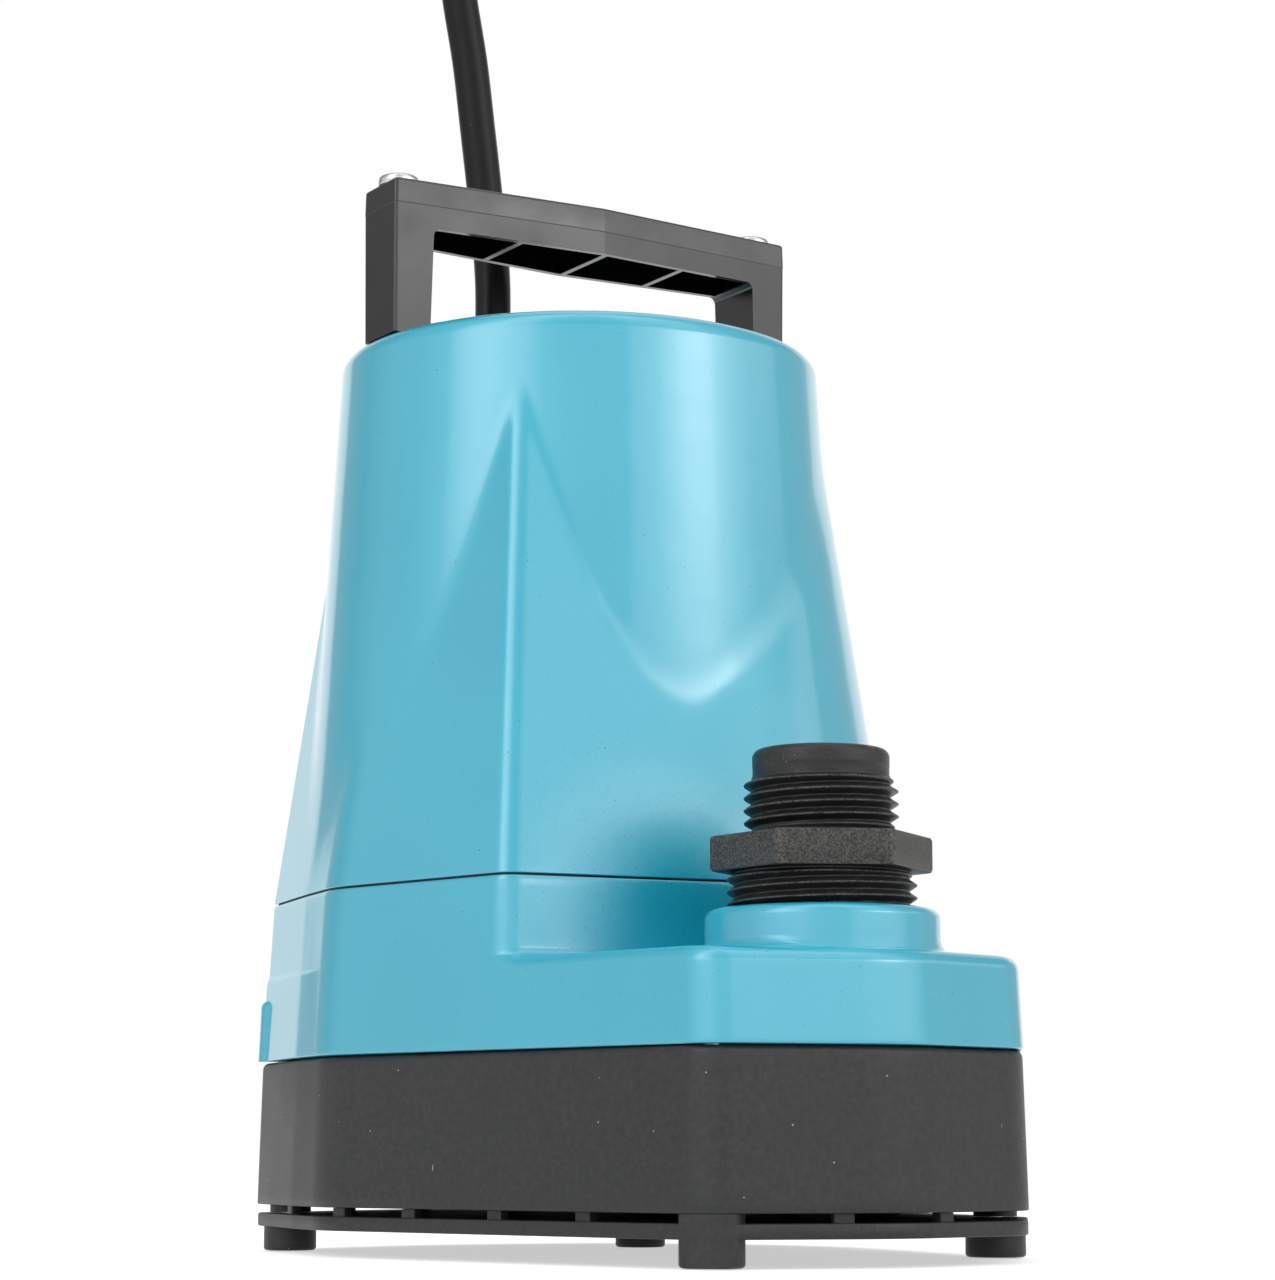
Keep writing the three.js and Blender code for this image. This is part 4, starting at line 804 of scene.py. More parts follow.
def lower_side(z):
    """The wall and the flange at a height, both drafted; where the wall stands proud the flange follows it."""
    wall = reach(flare(SEAM_LEVEL), LOWER_ANGLES, -(WALL_TOP - z) * FLANGE_DRAFT)
    flange = reach(FOOTPRINT, LOWER_ANGLES, (z - FLANGE_BOTTOM) * FLANGE_DRAFT - FLANGE_GROWTH)
    return wall, np.maximum(wall, flange)


def lower_levels():
    """The bearing's seat, the wall down to the ledge, the ledge's fillet, its flat, its outer round, and the
    flange's side. Both rounds turn by the angle whose cosine is one less the step over the sum of the radii."""
    flat = np.zeros_like(LOWER_ANGLES)
    inner = reach(flare(SEAM_LEVEL), LOWER_ANGLES, CASTING_WALL)
    for r, z in BEARING_SEAT:
        yield flat + r, z
    yield inner, 44
    yield inner, WALL_TOP
    top = lower_side(WALL_TOP)[0]
    for inset, drop in SEAM_ROUND:
        yield top - inset, WALL_TOP - drop
    step_wall, step_flange = lower_side(LEDGE)
    step = step_flange - step_wall
    turn = np.arccos(np.clip(1 - step / (INNER_FILLET + OUTER_ROUND), 0, 1))
    straight = np.maximum(step - INNER_FILLET - OUTER_ROUND, 0)
    start = LEDGE + INNER_FILLET * np.sin(turn)
    for share in np.linspace(0.04, 1, 9):
        z = (WALL_TOP - 0.3) * (1 - share) + start * share
        yield step_wall - (z - LEDGE) * FLANGE_DRAFT, z
    for share in np.linspace(0.12, 1, 8):
        t = turn * share
        yield (step_wall + INNER_FILLET * (1 - np.cos(t)) - (start - LEDGE) * FLANGE_DRAFT * (1 - share),
               LEDGE + INNER_FILLET * (np.sin(turn) - np.sin(t)))
    for share in (0.1, 0.35, 0.65, 0.9):
        yield step_wall + INNER_FILLET * (1 - np.cos(turn)) + straight * share, LEDGE + flat
    end = LEDGE - OUTER_ROUND * np.sin(turn)
    for share in np.linspace(0, 1, 10):
        t = turn * (1 - share)
        yield (step_flange - OUTER_ROUND * (1 - np.cos(t)) + (LEDGE - end) * FLANGE_DRAFT * share,
               LEDGE - OUTER_ROUND * (np.sin(turn) - np.sin(t)))
    for share in np.linspace(0.1, 1, 9):
        z = end * (1 - share) + (FLANGE_BOTTOM + 0.4) * share
        yield step_flange + (LEDGE - z) * FLANGE_DRAFT, z
    bottom = step_flange + (LEDGE - FLANGE_BOTTOM) * FLANGE_DRAFT
    for inset, rise in BOTTOM_ROUND:
        yield bottom - inset, FLANGE_BOTTOM + rise


lower_housing = solid("lower_housing_casting", *skin(polar_rows(lower_levels(), LOWER_ANGLES), ring=True))
print("lower casting grid", len(lower_housing.data.vertices))

# %% The discharge boss and the lug on the far left
DISCHARGE = {"x": 85.5, "y": -23.6}
DISCHARGE_AT = np.array([DISCHARGE["x"], DISCHARGE["y"], 0.0])
BOSS_RADIUS, BOSS_TOP, BOSS_ROUND = 20.5, 60.2, 1.8
BOSS_ANGLES = around(192)
LEAST_FILLET, FULL_FILLET = 0.3, 2.2
LUG_AT = (-45.4, -37)


def boss_levels():
    """A quarter round at the boss's foot, as wide in each direction as the flat of the ledge leaves room for,
    evened out over nine neighbours, then the side and a rounded top."""
    edge = reach(FOOTPRINT - DISCHARGE_AT, BOSS_ANGLES,
                 (LEDGE - FLANGE_BOTTOM) * FLANGE_DRAFT - FLANGE_GROWTH + OUTER_ROUND)
    fillet = np.clip(edge - BOSS_RADIUS, LEAST_FILLET, FULL_FILLET)
    count = len(fillet)
    fillet = np.convolve(np.tile(fillet, 3), np.ones(9) / 9, "same")[count : 2 * count]
    yield 0 * fillet + NEAR_AXIS, LEDGE - 6
    yield BOSS_RADIUS + fillet, LEDGE - 6
    yield BOSS_RADIUS + fillet, LEDGE - 0.06
    for t in np.radians(np.linspace(268, 182, 9)):
        yield BOSS_RADIUS + fillet * (1 + np.cos(t)), LEDGE + fillet * (1 + np.sin(t))
    top = arc(BOSS_RADIUS - BOSS_ROUND, BOSS_TOP - BOSS_ROUND, BOSS_ROUND, 0, 90, 8)
    for r, z in profile((BOSS_RADIUS, LEDGE + 2.5), top, (17.0, BOSS_TOP), (NEAR_AXIS, BOSS_TOP)):
        yield 0 * fillet + r, z


boss = solid("boss", *skin(polar_rows(boss_levels(), BOSS_ANGLES) + DISCHARGE_AT))
lug_side = profile((NEAR_AXIS, FLANGE_BOTTOM), (5, FLANGE_BOTTOM), (4.65, 46.5), arc(2.9, 46.9, 1.75, 0, 60, 5),
                   (NEAR_AXIS, 49.2))
lug = turned("lug", lug_side, 48, *LUG_AT)
combine(lower_housing, [boss, lug], "UNION")
water_way = profile((NEAR_AXIS, FLANGE_BOTTOM - 1), (15.6, FLANGE_BOTTOM - 1), (15.6, 46), (16.85, 46.3),
                    (16.85, BOSS_TOP - 0.6), (17.5, BOSS_TOP + 0.1), (17.5, 70), (NEAR_AXIS, 70))
combine(lower_housing, [turned("bore", water_way, 96, **DISCHARGE)])
finish(lower_housing, ENAMEL, ["lower_housing"])

# %% [markdown]
# ## The gasket between the castings
# Only a black line of the rubber sheet shows in the seam, which is about a third of a millimetre wide. The
# sheet has the outline of the seam, set back by 0.8 mm, so the line is a shadow as much as a colour.

# %% The housing gasket
GASKET_TOP, GASKET_INSET = 67.56, 0.8
seam_outer = reach(flare(SEAM_LEVEL), LOWER_ANGLES, GASKET_INSET)
seam_inner = reach(flare(SEAM_LEVEL), LOWER_ANGLES, CASTING_WALL)
gasket_rows = polar_rows([(seam_inner, GASKET_BOTTOM), (seam_outer, GASKET_BOTTOM), (seam_outer, GASKET_TOP),
                          (seam_inner, GASKET_TOP)], LOWER_ANGLES)
finish(solid("seam_gasket", *skin(gasket_rows, ring=True)), SEAL, ["housing_gasket"])

# %% [markdown]
# ## The volute
# The base is one deep moulding with the flange's outline and a little draft, widest at the bottom. A shallow
# room under its floor draws water in through the slit all round; the eye in the floor leads to the impeller,
# which throws the water into a spiral that widens towards the discharge.

# %% The volute body
SLIT_TOP, VOLUTE_TOP, VOLUTE_FLOOR, CHAMBER_FLOOR = 8.8, 36.2, 13.2, 16.0
VOLUTE_DRAFT = math.tan(math.radians(1.4))
VOLUTE_ROUND, EYE_RADIUS = 1.3, 15


def volute_side(z):
    """The footprint, drafted: wider towards the bottom."""
    return reach(FOOTPRINT, LOWER_ANGLES, -(VOLUTE_TOP - z) * VOLUTE_DRAFT)


def volute_levels():
    """The eye with its bevelled lip, the room under the floor, the drafted side, the top's round and the top."""
    flat = np.zeros_like(LOWER_ANGLES)
    room = reach(FOOTPRINT, LOWER_ANGLES, 3.0)
    yield flat + EYE_RADIUS, CHAMBER_FLOOR + 2
    yield flat + EYE_RADIUS, VOLUTE_FLOOR + 1.6
    yield flat + EYE_RADIUS + 1.6, VOLUTE_FLOOR
    yield room, VOLUTE_FLOOR
    yield room, SLIT_TOP
    foot = volute_side(SLIT_TOP)
    yield foot - 0.35, SLIT_TOP
    yield foot - 0.1, SLIT_TOP + 0.08
    shoulder = VOLUTE_TOP - VOLUTE_ROUND
    for z in np.linspace(SLIT_TOP + 0.35, shoulder, 16):
        yield volute_side(z), z
    for share in np.linspace(0.15, 1, 7):
        t = share * np.pi / 2
        yield volute_side(shoulder) - VOLUTE_ROUND * (1 - np.cos(t)), shoulder + VOLUTE_ROUND * np.sin(t)
    yield flat + 40, VOLUTE_TOP
    yield flat + EYE_RADIUS, VOLUTE_TOP


volute = solid("volute_moulding", *skin(polar_rows(volute_levels(), LOWER_ANGLES), ring=True))
print("volute grid", len(volute.data.vertices))

# %% The spiral and the throat inside it
SPIRAL = {"start": 41.0, "end": 50.5, "first": -30.0, "last": 270.0}
THROAT = np.array([(30, -38.5, 12), (79, -33.5, 13.5), (86, -22, 17)])


def spiral_outline():
    """Radius grows steadily with the angle from the cutwater round to the throat."""
    angle = np.radians(np.linspace(SPIRAL["first"], SPIRAL["last"], 90))
    r = np.linspace(SPIRAL["start"], SPIRAL["end"], 90)
    rest = np.radians(np.linspace(SPIRAL["last"], SPIRAL["first"] + 360, 12)[1:-1])
    angle, r = np.append(angle, rest), np.append(r, np.full(len(rest), SPIRAL["start"]))
    return np.stack([r * np.cos(angle), r * np.sin(angle)], -1)


def throat_outline():
    """The belt round the throat's discs, seen from a point inside it."""
    middle = np.array([60.0, -34.0, 0.0])
    angles = spread([THROAT - middle], 90)
    r = reach(THROAT - middle, angles)
    return np.stack([middle[0] + r * np.cos(angles), middle[1] + r * np.sin(angles)], -1)


chamber = prism("chamber", spiral_outline(), CHAMBER_FLOOR, VOLUTE_TOP + 1)
throat = prism("throat", throat_outline(), CHAMBER_FLOOR + 0.02, VOLUTE_TOP + 1)
combine(volute, [chamber, throat])

# %% Screw columns, and the column over the near foot that closes the slit
BASE_SCREWS = [(88.3, -54.3), (-41.6, -37.7), (83.6, 25), (-28, 49), (31, 50)]
COLUMN_LOW, COLUMN_RADIUS = 7.35, 4


def footprint_prism(name, low, high, grow):
    """The footprint as a block, for trimming columns and feet to the outline."""
    r = reach(FOOTPRINT, LOWER_ANGLES, -grow)
    return solid(name, *skin(polar_rows([(r, low), (r, high)], LOWER_ANGLES)))


column_side = profile((NEAR_AXIS, COLUMN_LOW), (COLUMN_RADIUS, COLUMN_LOW), (COLUMN_RADIUS, VOLUTE_FLOOR + 1),
                      (NEAR_AXIS, VOLUTE_FLOOR + 1))
for x, y in BASE_SCREWS:
    column = turned("column", column_side, 32, x, y)
    combine(column, [footprint_prism("trim", 0, 30, 0.2)], "INTERSECT")
    combine(volute, [column], "UNION")
finish(volute, VOLUTE_PLASTIC, ["volute"])

# %% [markdown]
# ## The intake plate
# The plate closes the room from below. Small square posts near its edge hold the slit open, and keep stones
# out; screws go through it and through three of its feet.

# %% The plate, its posts and its feet
PLATE_BOTTOM, PLATE_TOP = 4.6, 7.2
PLATE_GROWTH = (VOLUTE_TOP - PLATE_TOP) * VOLUTE_DRAFT - 0.2
POSTS = [-92.5, -73.7, -55.4, -42.9, -20.2, -9.5, 36, 54, 72, 90, 108, 150, 172, 194, 239.5]  # degrees
POST_WIDTH, POST_DEPTH, POST_INSET = 3.6, 2.0, 1.6
FEET = [(88.3, -54.5, 5.5), (-41.6, -37.7, 5.1), (83.6, 25, 5.5), (-8.3, 25.7, 5)]  # x, y, radius
FOOT_ROUND = 0.7
SCREW_HOLE = profile((NEAR_AXIS, -1), (3.4, -1), (3.4, 5.2), (2.2, 5.25), (2.2, 12), (NEAR_AXIS, 12))


def plate_levels():
    """A flat disc of the footprint's outline with small rounds on both edges, as insets and heights."""
    edge = reach(FOOTPRINT, LOWER_ANGLES, -PLATE_GROWTH)
    yield 0 * edge + NEAR_AXIS, PLATE_BOTTOM
    for inset, z in [(3, 0), (0.45, 0), (0.15, 0.1), (0, 0.4), (0, 2.2), (0.12, 2.48), (0.4, 2.6), (3, 2.6)]:
        yield edge - inset, PLATE_BOTTOM + z
    yield 0 * edge + NEAR_AXIS, PLATE_TOP


def post(degrees):
    """A small rounded square on the outline, turned to follow it: the belt's point in that direction, and the
    line between two points close to it."""
    near = np.radians([degrees - 0.2, degrees, degrees + 0.2])
    r = reach(FOOTPRINT, near, POST_INSET)
    points = np.stack([r * np.cos(near), r * np.sin(near)], -1)
    along = points[2] - points[0]
    turn = math.atan2(along[1], along[0])
    discs = np.array([(sx * (POST_WIDTH / 2 - 0.3), sy * (POST_DEPTH / 2 - 0.3), 0.3)
                      for sx, sy in [(1, 1), (-1, 1), (-1, -1), (1, -1)]])
    angles = around(40)
    r = reach(discs, angles)
    outline = points[1] + np.stack([r * np.cos(angles + turn), r * np.sin(angles + turn)], -1)
    return prism("post", outline, PLATE_TOP - 1, SLIT_TOP - 0.05)


def foot(index):
    """A stub with a rounded foot, trimmed to the outline. The near one goes on up and closes the slit."""
    x, y, r = FEET[index]
    top = SLIT_TOP - 0.05 if index == 0 else PLATE_BOTTOM + 1
    side = profile((NEAR_AXIS, 0), (r - FOOT_ROUND, 0), arc(r - FOOT_ROUND, FOOT_ROUND, FOOT_ROUND, 280, 350, 4),
                   (r, top), (NEAR_AXIS, top))
    made = turned("foot", side, 48, x, y)
    return combine(made, [footprint_prism("trim", -1, 30, PLATE_GROWTH)], "INTERSECT")


plate = solid("intake_plate_moulding", *skin(polar_rows(plate_levels(), LOWER_ANGLES)))
combine(plate, [post(degrees) for degrees in POSTS] + [foot(i) for i in range(len(FEET))], "UNION")
combine(plate, [turned("hole", SCREW_HOLE, 32, x, y) for x, y in BASE_SCREWS])
finish(plate, VOLUTE_PLASTIC, ["intake_plate"])

# %% [markdown]
# ## Screws
# A pan head with a cross recess is a height field: a dome as a function of the radius, less a trough wherever
# the point lies within half a slot's width of either of two crossed lines.


# %% Pan-head screws with a cross recess
def cross_head(head, height, slot=0.55, deep=1.3, reach_out=0.62):
    """Rows of a head about its own axis, from the rim to the middle, with the recess pressed in. The dome is
    the root of one less the radius squared."""
    inwards = np.linspace(0.95, 0.02, 30)
    r = np.concatenate([[1.0, 1.0, 0.985], inwards]) * head
    dome = np.concatenate([[0.0, 0.45, 0.58], 0.55 + 0.45 * np.sqrt(1 - inwards**2)]) * height
    t = around(96)
    x, y = r[:, None] * np.cos(t), r[:, None] * np.sin(t)
    off = np.minimum(np.abs(x), np.abs(y))
    inside = np.clip((slot - off) / 0.18, 0, 1) * np.clip((reach_out * head - r[:, None]) / 0.5, 0, 1)
    inside[:3] = 0
    return np.stack([x, y, dome[:, None] - deep * inside], -1)


def pan_screw(name, x, y, seat, tip, radius, head, height, down=False):
    """A shank turned from its tip, and the head on it; a screw driven from below is the same upside down."""
    end = tip - seat
    shank = profile((0.3, end), (radius * 0.6, end), (radius, end + radius), (radius, -0.1), (head - 0.05, -0.05))
    rows = np.concatenate([turned_rows(shank, 96), cross_head(head, height)])
    if down:
        rows = rows * np.array([1, -1, -1])
    return solid(name, *skin(rows + np.array([x, y, seat])))


HANDLE_TOP = 207.1
HANDLE_TURN = math.radians(77)
SCREW_AT = 41.8
for i, side in enumerate((-1, 1)):
    x, y = side * SCREW_AT * math.cos(HANDLE_TURN), side * SCREW_AT * math.sin(HANDLE_TURN)
    screw = pan_screw(f"handle_screw_head_{i + 1}", x, y, seat=HANDLE_TOP + 0.1, tip=163.5, radius=1.9, head=4.0,
                      height=2.4)
    finish(screw, STEEL, [f"handle_screw_{i + 1}"], angle=50)
for i, (x, y) in enumerate(BASE_SCREWS):
    screw = pan_screw(f"base_screw_head_{i + 1}", x, y, seat=5.0, tip=-36.5, radius=1.75, head=3.1, height=2.1,
                      down=True)
    finish(screw, STEEL, [f"base_screw_{i + 1}"], angle=50)

# %% [markdown]
# ## The handle
# The handle is one moulding: two solid posts and a beam that is bent a little at its middle, hollow from
# below with three ribs across. It parts along a line 5 mm under its top, so its sides lean in by half a
# degree above and below that line. It is a loft of one plan outline, with the finger gap and the channel
# cut out, and a small bevel on every edge.

# %% The handle's plan and its block
HANDLE = {"length": 92.0, "end": 13.4, "middle": 19.6, "post": 8.4, "beam": 9.5, "wall": 1.5, "rib": 1.3}
HANDLE_RIBS = (-18.1, 0.9, 19.9)  # along the beam
HANDLE_LOW = HOUSING_TOP + 0.1
PARTING = HANDLE_TOP - 5.0
HANDLE_ROUND = 0.6


def handle_plan(inset, corner=0.7):
    """The bent outline: four rounded corners, and the two points of the bend. Counter-clockwise."""
    half, end, middle = HANDLE["length"] / 2 - inset, HANDLE["end"] / 2 - inset, HANDLE["middle"] / 2 - inset
    points = []
    for sx, sy, start in [(1, -1, 270), (1, 1, 0), (-1, 1, 90), (-1, -1, 180)]:
        t = np.radians(np.linspace(start, start + 90, 5))
        points.append(np.stack([sx * (half - corner) + corner * np.cos(t),
                                sy * (end - corner) + corner * np.sin(t)], -1))
        if sx == sy:
            points.append(np.array([[0, sy * middle]]))
    return np.concatenate(points)


def about_handle(points):
    """Handle coordinates to the pump's: turned about the motor axis."""
    points = np.asarray(points, float)
    c, s = math.cos(HANDLE_TURN), math.sin(HANDLE_TURN)
    x, y = points[..., 0] * c - points[..., 1] * s, points[..., 0] * s + points[..., 1] * c
    return np.stack([x, y, points[..., 2]], -1)


def handle_loft(levels):
    """The plan at each height, pulled in by that level's inset."""
    return np.concatenate([at_heights(handle_plan(inset), [z]) for inset, z in levels])


levels = [(0.28, HANDLE_LOW), (0.06, PARTING - 0.02), (0.0, PARTING), (0.02, PARTING + 0.25),
          (0.1, HANDLE_TOP - 0.7)]
levels += [(0.1 + HANDLE_ROUND * (1 - math.cos(t)), HANDLE_TOP - HANDLE_ROUND + HANDLE_ROUND * math.sin(t))
           for t in np.linspace(0.3, np.pi / 2, 5)]
handle = solid("carrying_handle", *skin(about_handle(handle_loft(levels))))
print("handle block", len(handle.data.vertices), "points")


# %% Cut the finger gap and the channel
def side_prism(name, outline, half):
    """An outline of (x, z) in the handle's frame, carried across it."""
    rows = at_heights(outline, (-half, half))[..., [0, 2, 1]]
    return solid(name, *skin(about_handle(rows)))


def half_width(x):
    """Half the channel's width at a place along the beam, which narrows steadily from its middle to its ends."""
    narrowing = (HANDLE["end"] - HANDLE["middle"]) * abs(x) / (HANDLE["length"] / 2)
    return (HANDLE["middle"] + narrowing) / 2 - HANDLE["wall"]


GAP_CORNER = 1.5
gap = HANDLE["length"] - 2 * HANDLE["post"]
under = HANDLE_TOP - HANDLE["beam"]
right_top = arc(gap / 2 - GAP_CORNER, under - GAP_CORNER, GAP_CORNER, 0, 90)
gap_outline = np.concatenate([[(gap / 2 + 0.5, HANDLE_LOW - 1)], right_top, right_top[::-1] * (-1, 1),
                              [(-gap / 2 - 0.5, HANDLE_LOW - 1)]])
fingers = side_prism("fingers", gap_outline, 20)
edges = [-gap / 2 + 1] + [x + side * HANDLE["rib"] / 2 for x in HANDLE_RIBS for side in (-1, 1)]
edges += [gap / 2 - 1]
channels = []
for left, right in zip(edges[::2], edges[1::2]):
    outline = np.array([(left, -half_width(left)), (right, -half_width(right)), (right, half_width(right)),
                        (left, half_width(left))])
    rows = at_heights(outline, (under - 1, HANDLE_TOP - HANDLE["wall"]))
    channels.append(solid("channel", *skin(about_handle(rows))))
combine(handle, [fingers] + channels)
print("handle cut:", len(handle.data.polygons), "faces")


# %% Bevel the handle's cut edges and keep the bend crisp
def tidy_flats(piece, degrees=0.4):
    """Joins the triangles of each flat face, so that a bevel can run along its edges."""
    work = bmesh.new()
    work.from_mesh(piece.data)
    bmesh.ops.remove_doubles(work, verts=work.verts, dist=2e-6)
    bmesh.ops.dissolve_limit(work, angle_limit=math.radians(degrees), verts=work.verts, edges=work.edges)
    work.to_mesh(piece.data)
    work.free()


tidy_flats(handle)
rounding = handle.modifiers.new("rounding", "BEVEL")
rounding.width, rounding.segments, rounding.limit_method = 0.3 * MM, 2, "ANGLE"
rounding.angle_limit = math.radians(40)
baked(handle)
finish(handle, HANDLE_PLASTIC, ["handle"], angle=6.5)

# %% [markdown]
# ## The hose adapter
# One turned-looking moulding with two threads. Its radius is a function of angle and height: a root radius,
# plus a tooth that repeats every 2.21 mm (11.5 threads to the inch, for a 3/4 inch garden hose above and a
# 1 inch pipe below). The tooth's phase also moves with the angle, which makes the helix. The hexagon is a
# belt round six small discs.

# %% Threads and hexagon as radii
PITCH = 25.4 / 11.5
PIPE_RADIUS, HOSE_RADIUS, PILOT_RADIUS, ADAPTER_BORE = 16.55, 13.5, 12.0, 9.5
PILOT_TOP = 88.2
HEX_CORNER, HEX_ROUNDING, HEX_TURN = 19.6, 0.6, math.radians(-10)
ADAPTER_ANGLES = around(192)
THREAD_STEP = 0.13
HEX_LEVELS = [(3.5, 73.0), (0.9, 73.0), (0.25, 72.85), (0.0, 72.4), (0.0, 67.4), (0.25, 66.85), (0.9, 66.7)]


def tooth(z, deep, start):
    """Height of the thread at a height, for every angle: a triangle wave with a narrow crest and root."""
    phase = ((z - start) / PITCH - ADAPTER_ANGLES / CIRCLE) % 1
    wave = 1 - np.abs(2 * phase - 1)
    return deep * np.clip((wave - 0.1) / 0.8, 0, 1)


def ease(x, low, high):
    """0 below low and 1 above high, with a smooth rise."""
    share = np.clip((x - low) / (high - low), 0, 1)
    return share * share * (3 - 2 * share)


def hexagon(inset):
    """The belt round six small discs, one at each corner."""
    angle = HEX_TURN + around(6)
    discs = np.stack([(HEX_CORNER - HEX_ROUNDING) * np.cos(angle), (HEX_CORNER - HEX_ROUNDING) * np.sin(angle),
                      np.full(6, HEX_ROUNDING)], -1)
    return reach(discs, ADAPTER_ANGLES, inset)


print(f"thread pitch {PITCH:.3f} mm, hexagon {hexagon(0.0).min() * 2:.1f} mm across its flats")


# %% The adapter
def adapter_levels():
    """Up the bore, over the pilot's rounded rim, and down the outside: pilot, hose thread, hexagon and pipe
    thread. Each thread fades in and out with an eased share."""
    flat = np.zeros_like(ADAPTER_ANGLES)
    yield flat + ADAPTER_BORE, 47.5
    yield flat + ADAPTER_BORE, 87.2
    for r, z in arc(ADAPTER_BORE + 0.6, PILOT_TOP - 0.6, 0.6, 180, 90, 3):
        yield flat + r, z
    for r, z in arc(PILOT_RADIUS - 1.5, PILOT_TOP - 1.5, 1.5, 90, 0, 9):
        yield flat + r, z
    for inset, z in [(0.0, 85.4), (0.0, 85.1), (0.05, 85.0), (0.05, 83.4)]:
        yield flat + PILOT_RADIUS - inset, z
    for z in np.arange(83.3, 73.6, -THREAD_STEP):
        crest = ease(83.2 - z, 0.0, 1.1) * ease(z, 73.6, 75.0)
        yield PILOT_RADIUS + 0.12 + tooth(z, HOSE_RADIUS - PILOT_RADIUS - 0.12, 75.0) * crest, z
    yield flat + PILOT_RADIUS + 0.1, 73.4
    for inset, z in HEX_LEVELS:
        yield hexagon(inset), z
    yield flat + PIPE_RADIUS - 1.25, 66.6
    for z in np.arange(66.4, 56.0, -THREAD_STEP):
        yield PIPE_RADIUS - 1.3 + tooth(z, 1.3, 58.6) * ease(66.5 - z, 0.0, 0.8), z
    yield flat + PIPE_RADIUS - 1.3, 55.8
    yield flat + PIPE_RADIUS - 1.3, 47.5


adapter_rows = polar_rows(adapter_levels(), ADAPTER_ANGLES) + DISCHARGE_AT
finish(solid("hose_adapter", *skin(adapter_rows, ring=True)), ADAPTER_PLASTIC,
       ["discharge_adapter"], angle=40)

# %% [markdown]
# ## Strain relief, tie and plug
# The strain relief is a tapered rubber boot with grooves round it, so that it bends with the cord. The tie is
# a flat strap round the bundle of turns. The plug is a three-pin moulding with a waisted grip.

# %% The strain relief
BOOT_TOP = 189.4
TAPER_LOW, TAPER_TOP = HOUSING_TOP + 3.2, BOOT_TOP - 0.6
TAPER_WIDE, TAPER_NARROW = 6.6, 5.0
GROOVES, GROOVE_DEPTH = 4, 0.7
taper = np.linspace(0, 1, 61)
relief_z = TAPER_LOW + (TAPER_TOP - TAPER_LOW) * taper
relief_r = TAPER_WIDE + (TAPER_NARROW - TAPER_WIDE) * taper
groove = GROOVE_DEPTH * ease(np.cos(CIRCLE * GROOVES * taper + np.pi), 0.35, 0.75)
groove *= ease(0.5 - np.abs(taper - 0.5), 0, 0.08)
boot = profile((4.0, 171), (6.6, 171), (6.6, HOUSING_TOP + 0.1), (9, HOUSING_TOP + 0.1), (9, HOUSING_TOP + 1.6),
               (8.6, HOUSING_TOP + 2), (7.2, HOUSING_TOP + 2.4), np.stack([relief_r - groove, relief_z], -1),
               (4.3, BOOT_TOP), (CORD / 2 + 0.05, BOOT_TOP), (CORD / 2 + 0.05, 188), (4.0, 187))
finish(turned("cord_boot", boot, 72, CORD_EXIT[0], CORD_EXIT[1], ring=True), SEAL,
       ["cord_strain_relief"], angle=40)

# %% The tie round the coil
TIE_TURN = math.radians(300)
TIE_HALF, TIE_BEND = 6.0, 2.5


def tie_rows():
    """The strap's section across it (a thin rounded bar) carried round the bundle's outline, a belt round
    four small discs in the upright plane."""
    half = CORD / 2
    left, right = COIL["inner"] - half - 0.35, COIL["inner"] + COIL["pitch"] * COIL["turns"] + half + 0.35
    bottom, top = COIL["low"] - half - 0.2, COIL_TOP + half + 0.3
    middle = np.array([(left + right) / 2, (bottom + top) / 2, 0])
    bend = TIE_BEND
    corners = np.array([(x, z, bend) for x in (left + bend, right - bend) for z in (bottom + bend, top - bend)])
    corners = corners - middle
    angles = spread([corners], 120)
    section = [(-TIE_HALF, 0.1), (-TIE_HALF, 0.75), (-TIE_HALF + 0.3, 1.0), (0, 1.05), (TIE_HALF - 0.3, 1.0),
               (TIE_HALF, 0.75), (TIE_HALF, 0.1), (0, 0.05)]
    rows = []
    for across, grow in section:
        r = reach(corners, angles, -grow)
        out, z = middle[0] + r * np.cos(angles), middle[1] + r * np.sin(angles)
        c, s = math.cos(TIE_TURN), math.sin(TIE_TURN)
        rows.append(np.stack([COIL["x"] + out * c - across * s, COIL["y"] + out * s + across * c, z], -1))
    return np.stack(rows)


tie = finish(solid("coil_tie", *skin(tie_rows(), ring=True)), TIE, ["cord_tie"])

# %% The plug
PLUG_SECTIONS = np.array([  # along, half height, half width, corner radius
    (0.3, 4.6, 4.6, 4.5), (1.2, 5.3, 5.3, 5.2), (5, 5.5, 5.5, 5.3), (13.5, 6.5, 6.7, 6.3),
    (14.6, 7.4, 7.8, 6.9), (15.6, 9.2, 9.8, 7.4), (18, 10.8, 11.2, 7.6), (22, 11.4, 11.4, 7.4),
    (28, 11.0, 10.8, 7.1), (33, 11.7, 12.0, 7.0), (37, 12.7, 13.4, 7), (44, 12.8, 13.5, 6.8),
    (46, 12.7, 13.4, 6.6), (46.8, 12.3, 12.9, 6.3), (47, 11.8, 12.4, 6.0),
])


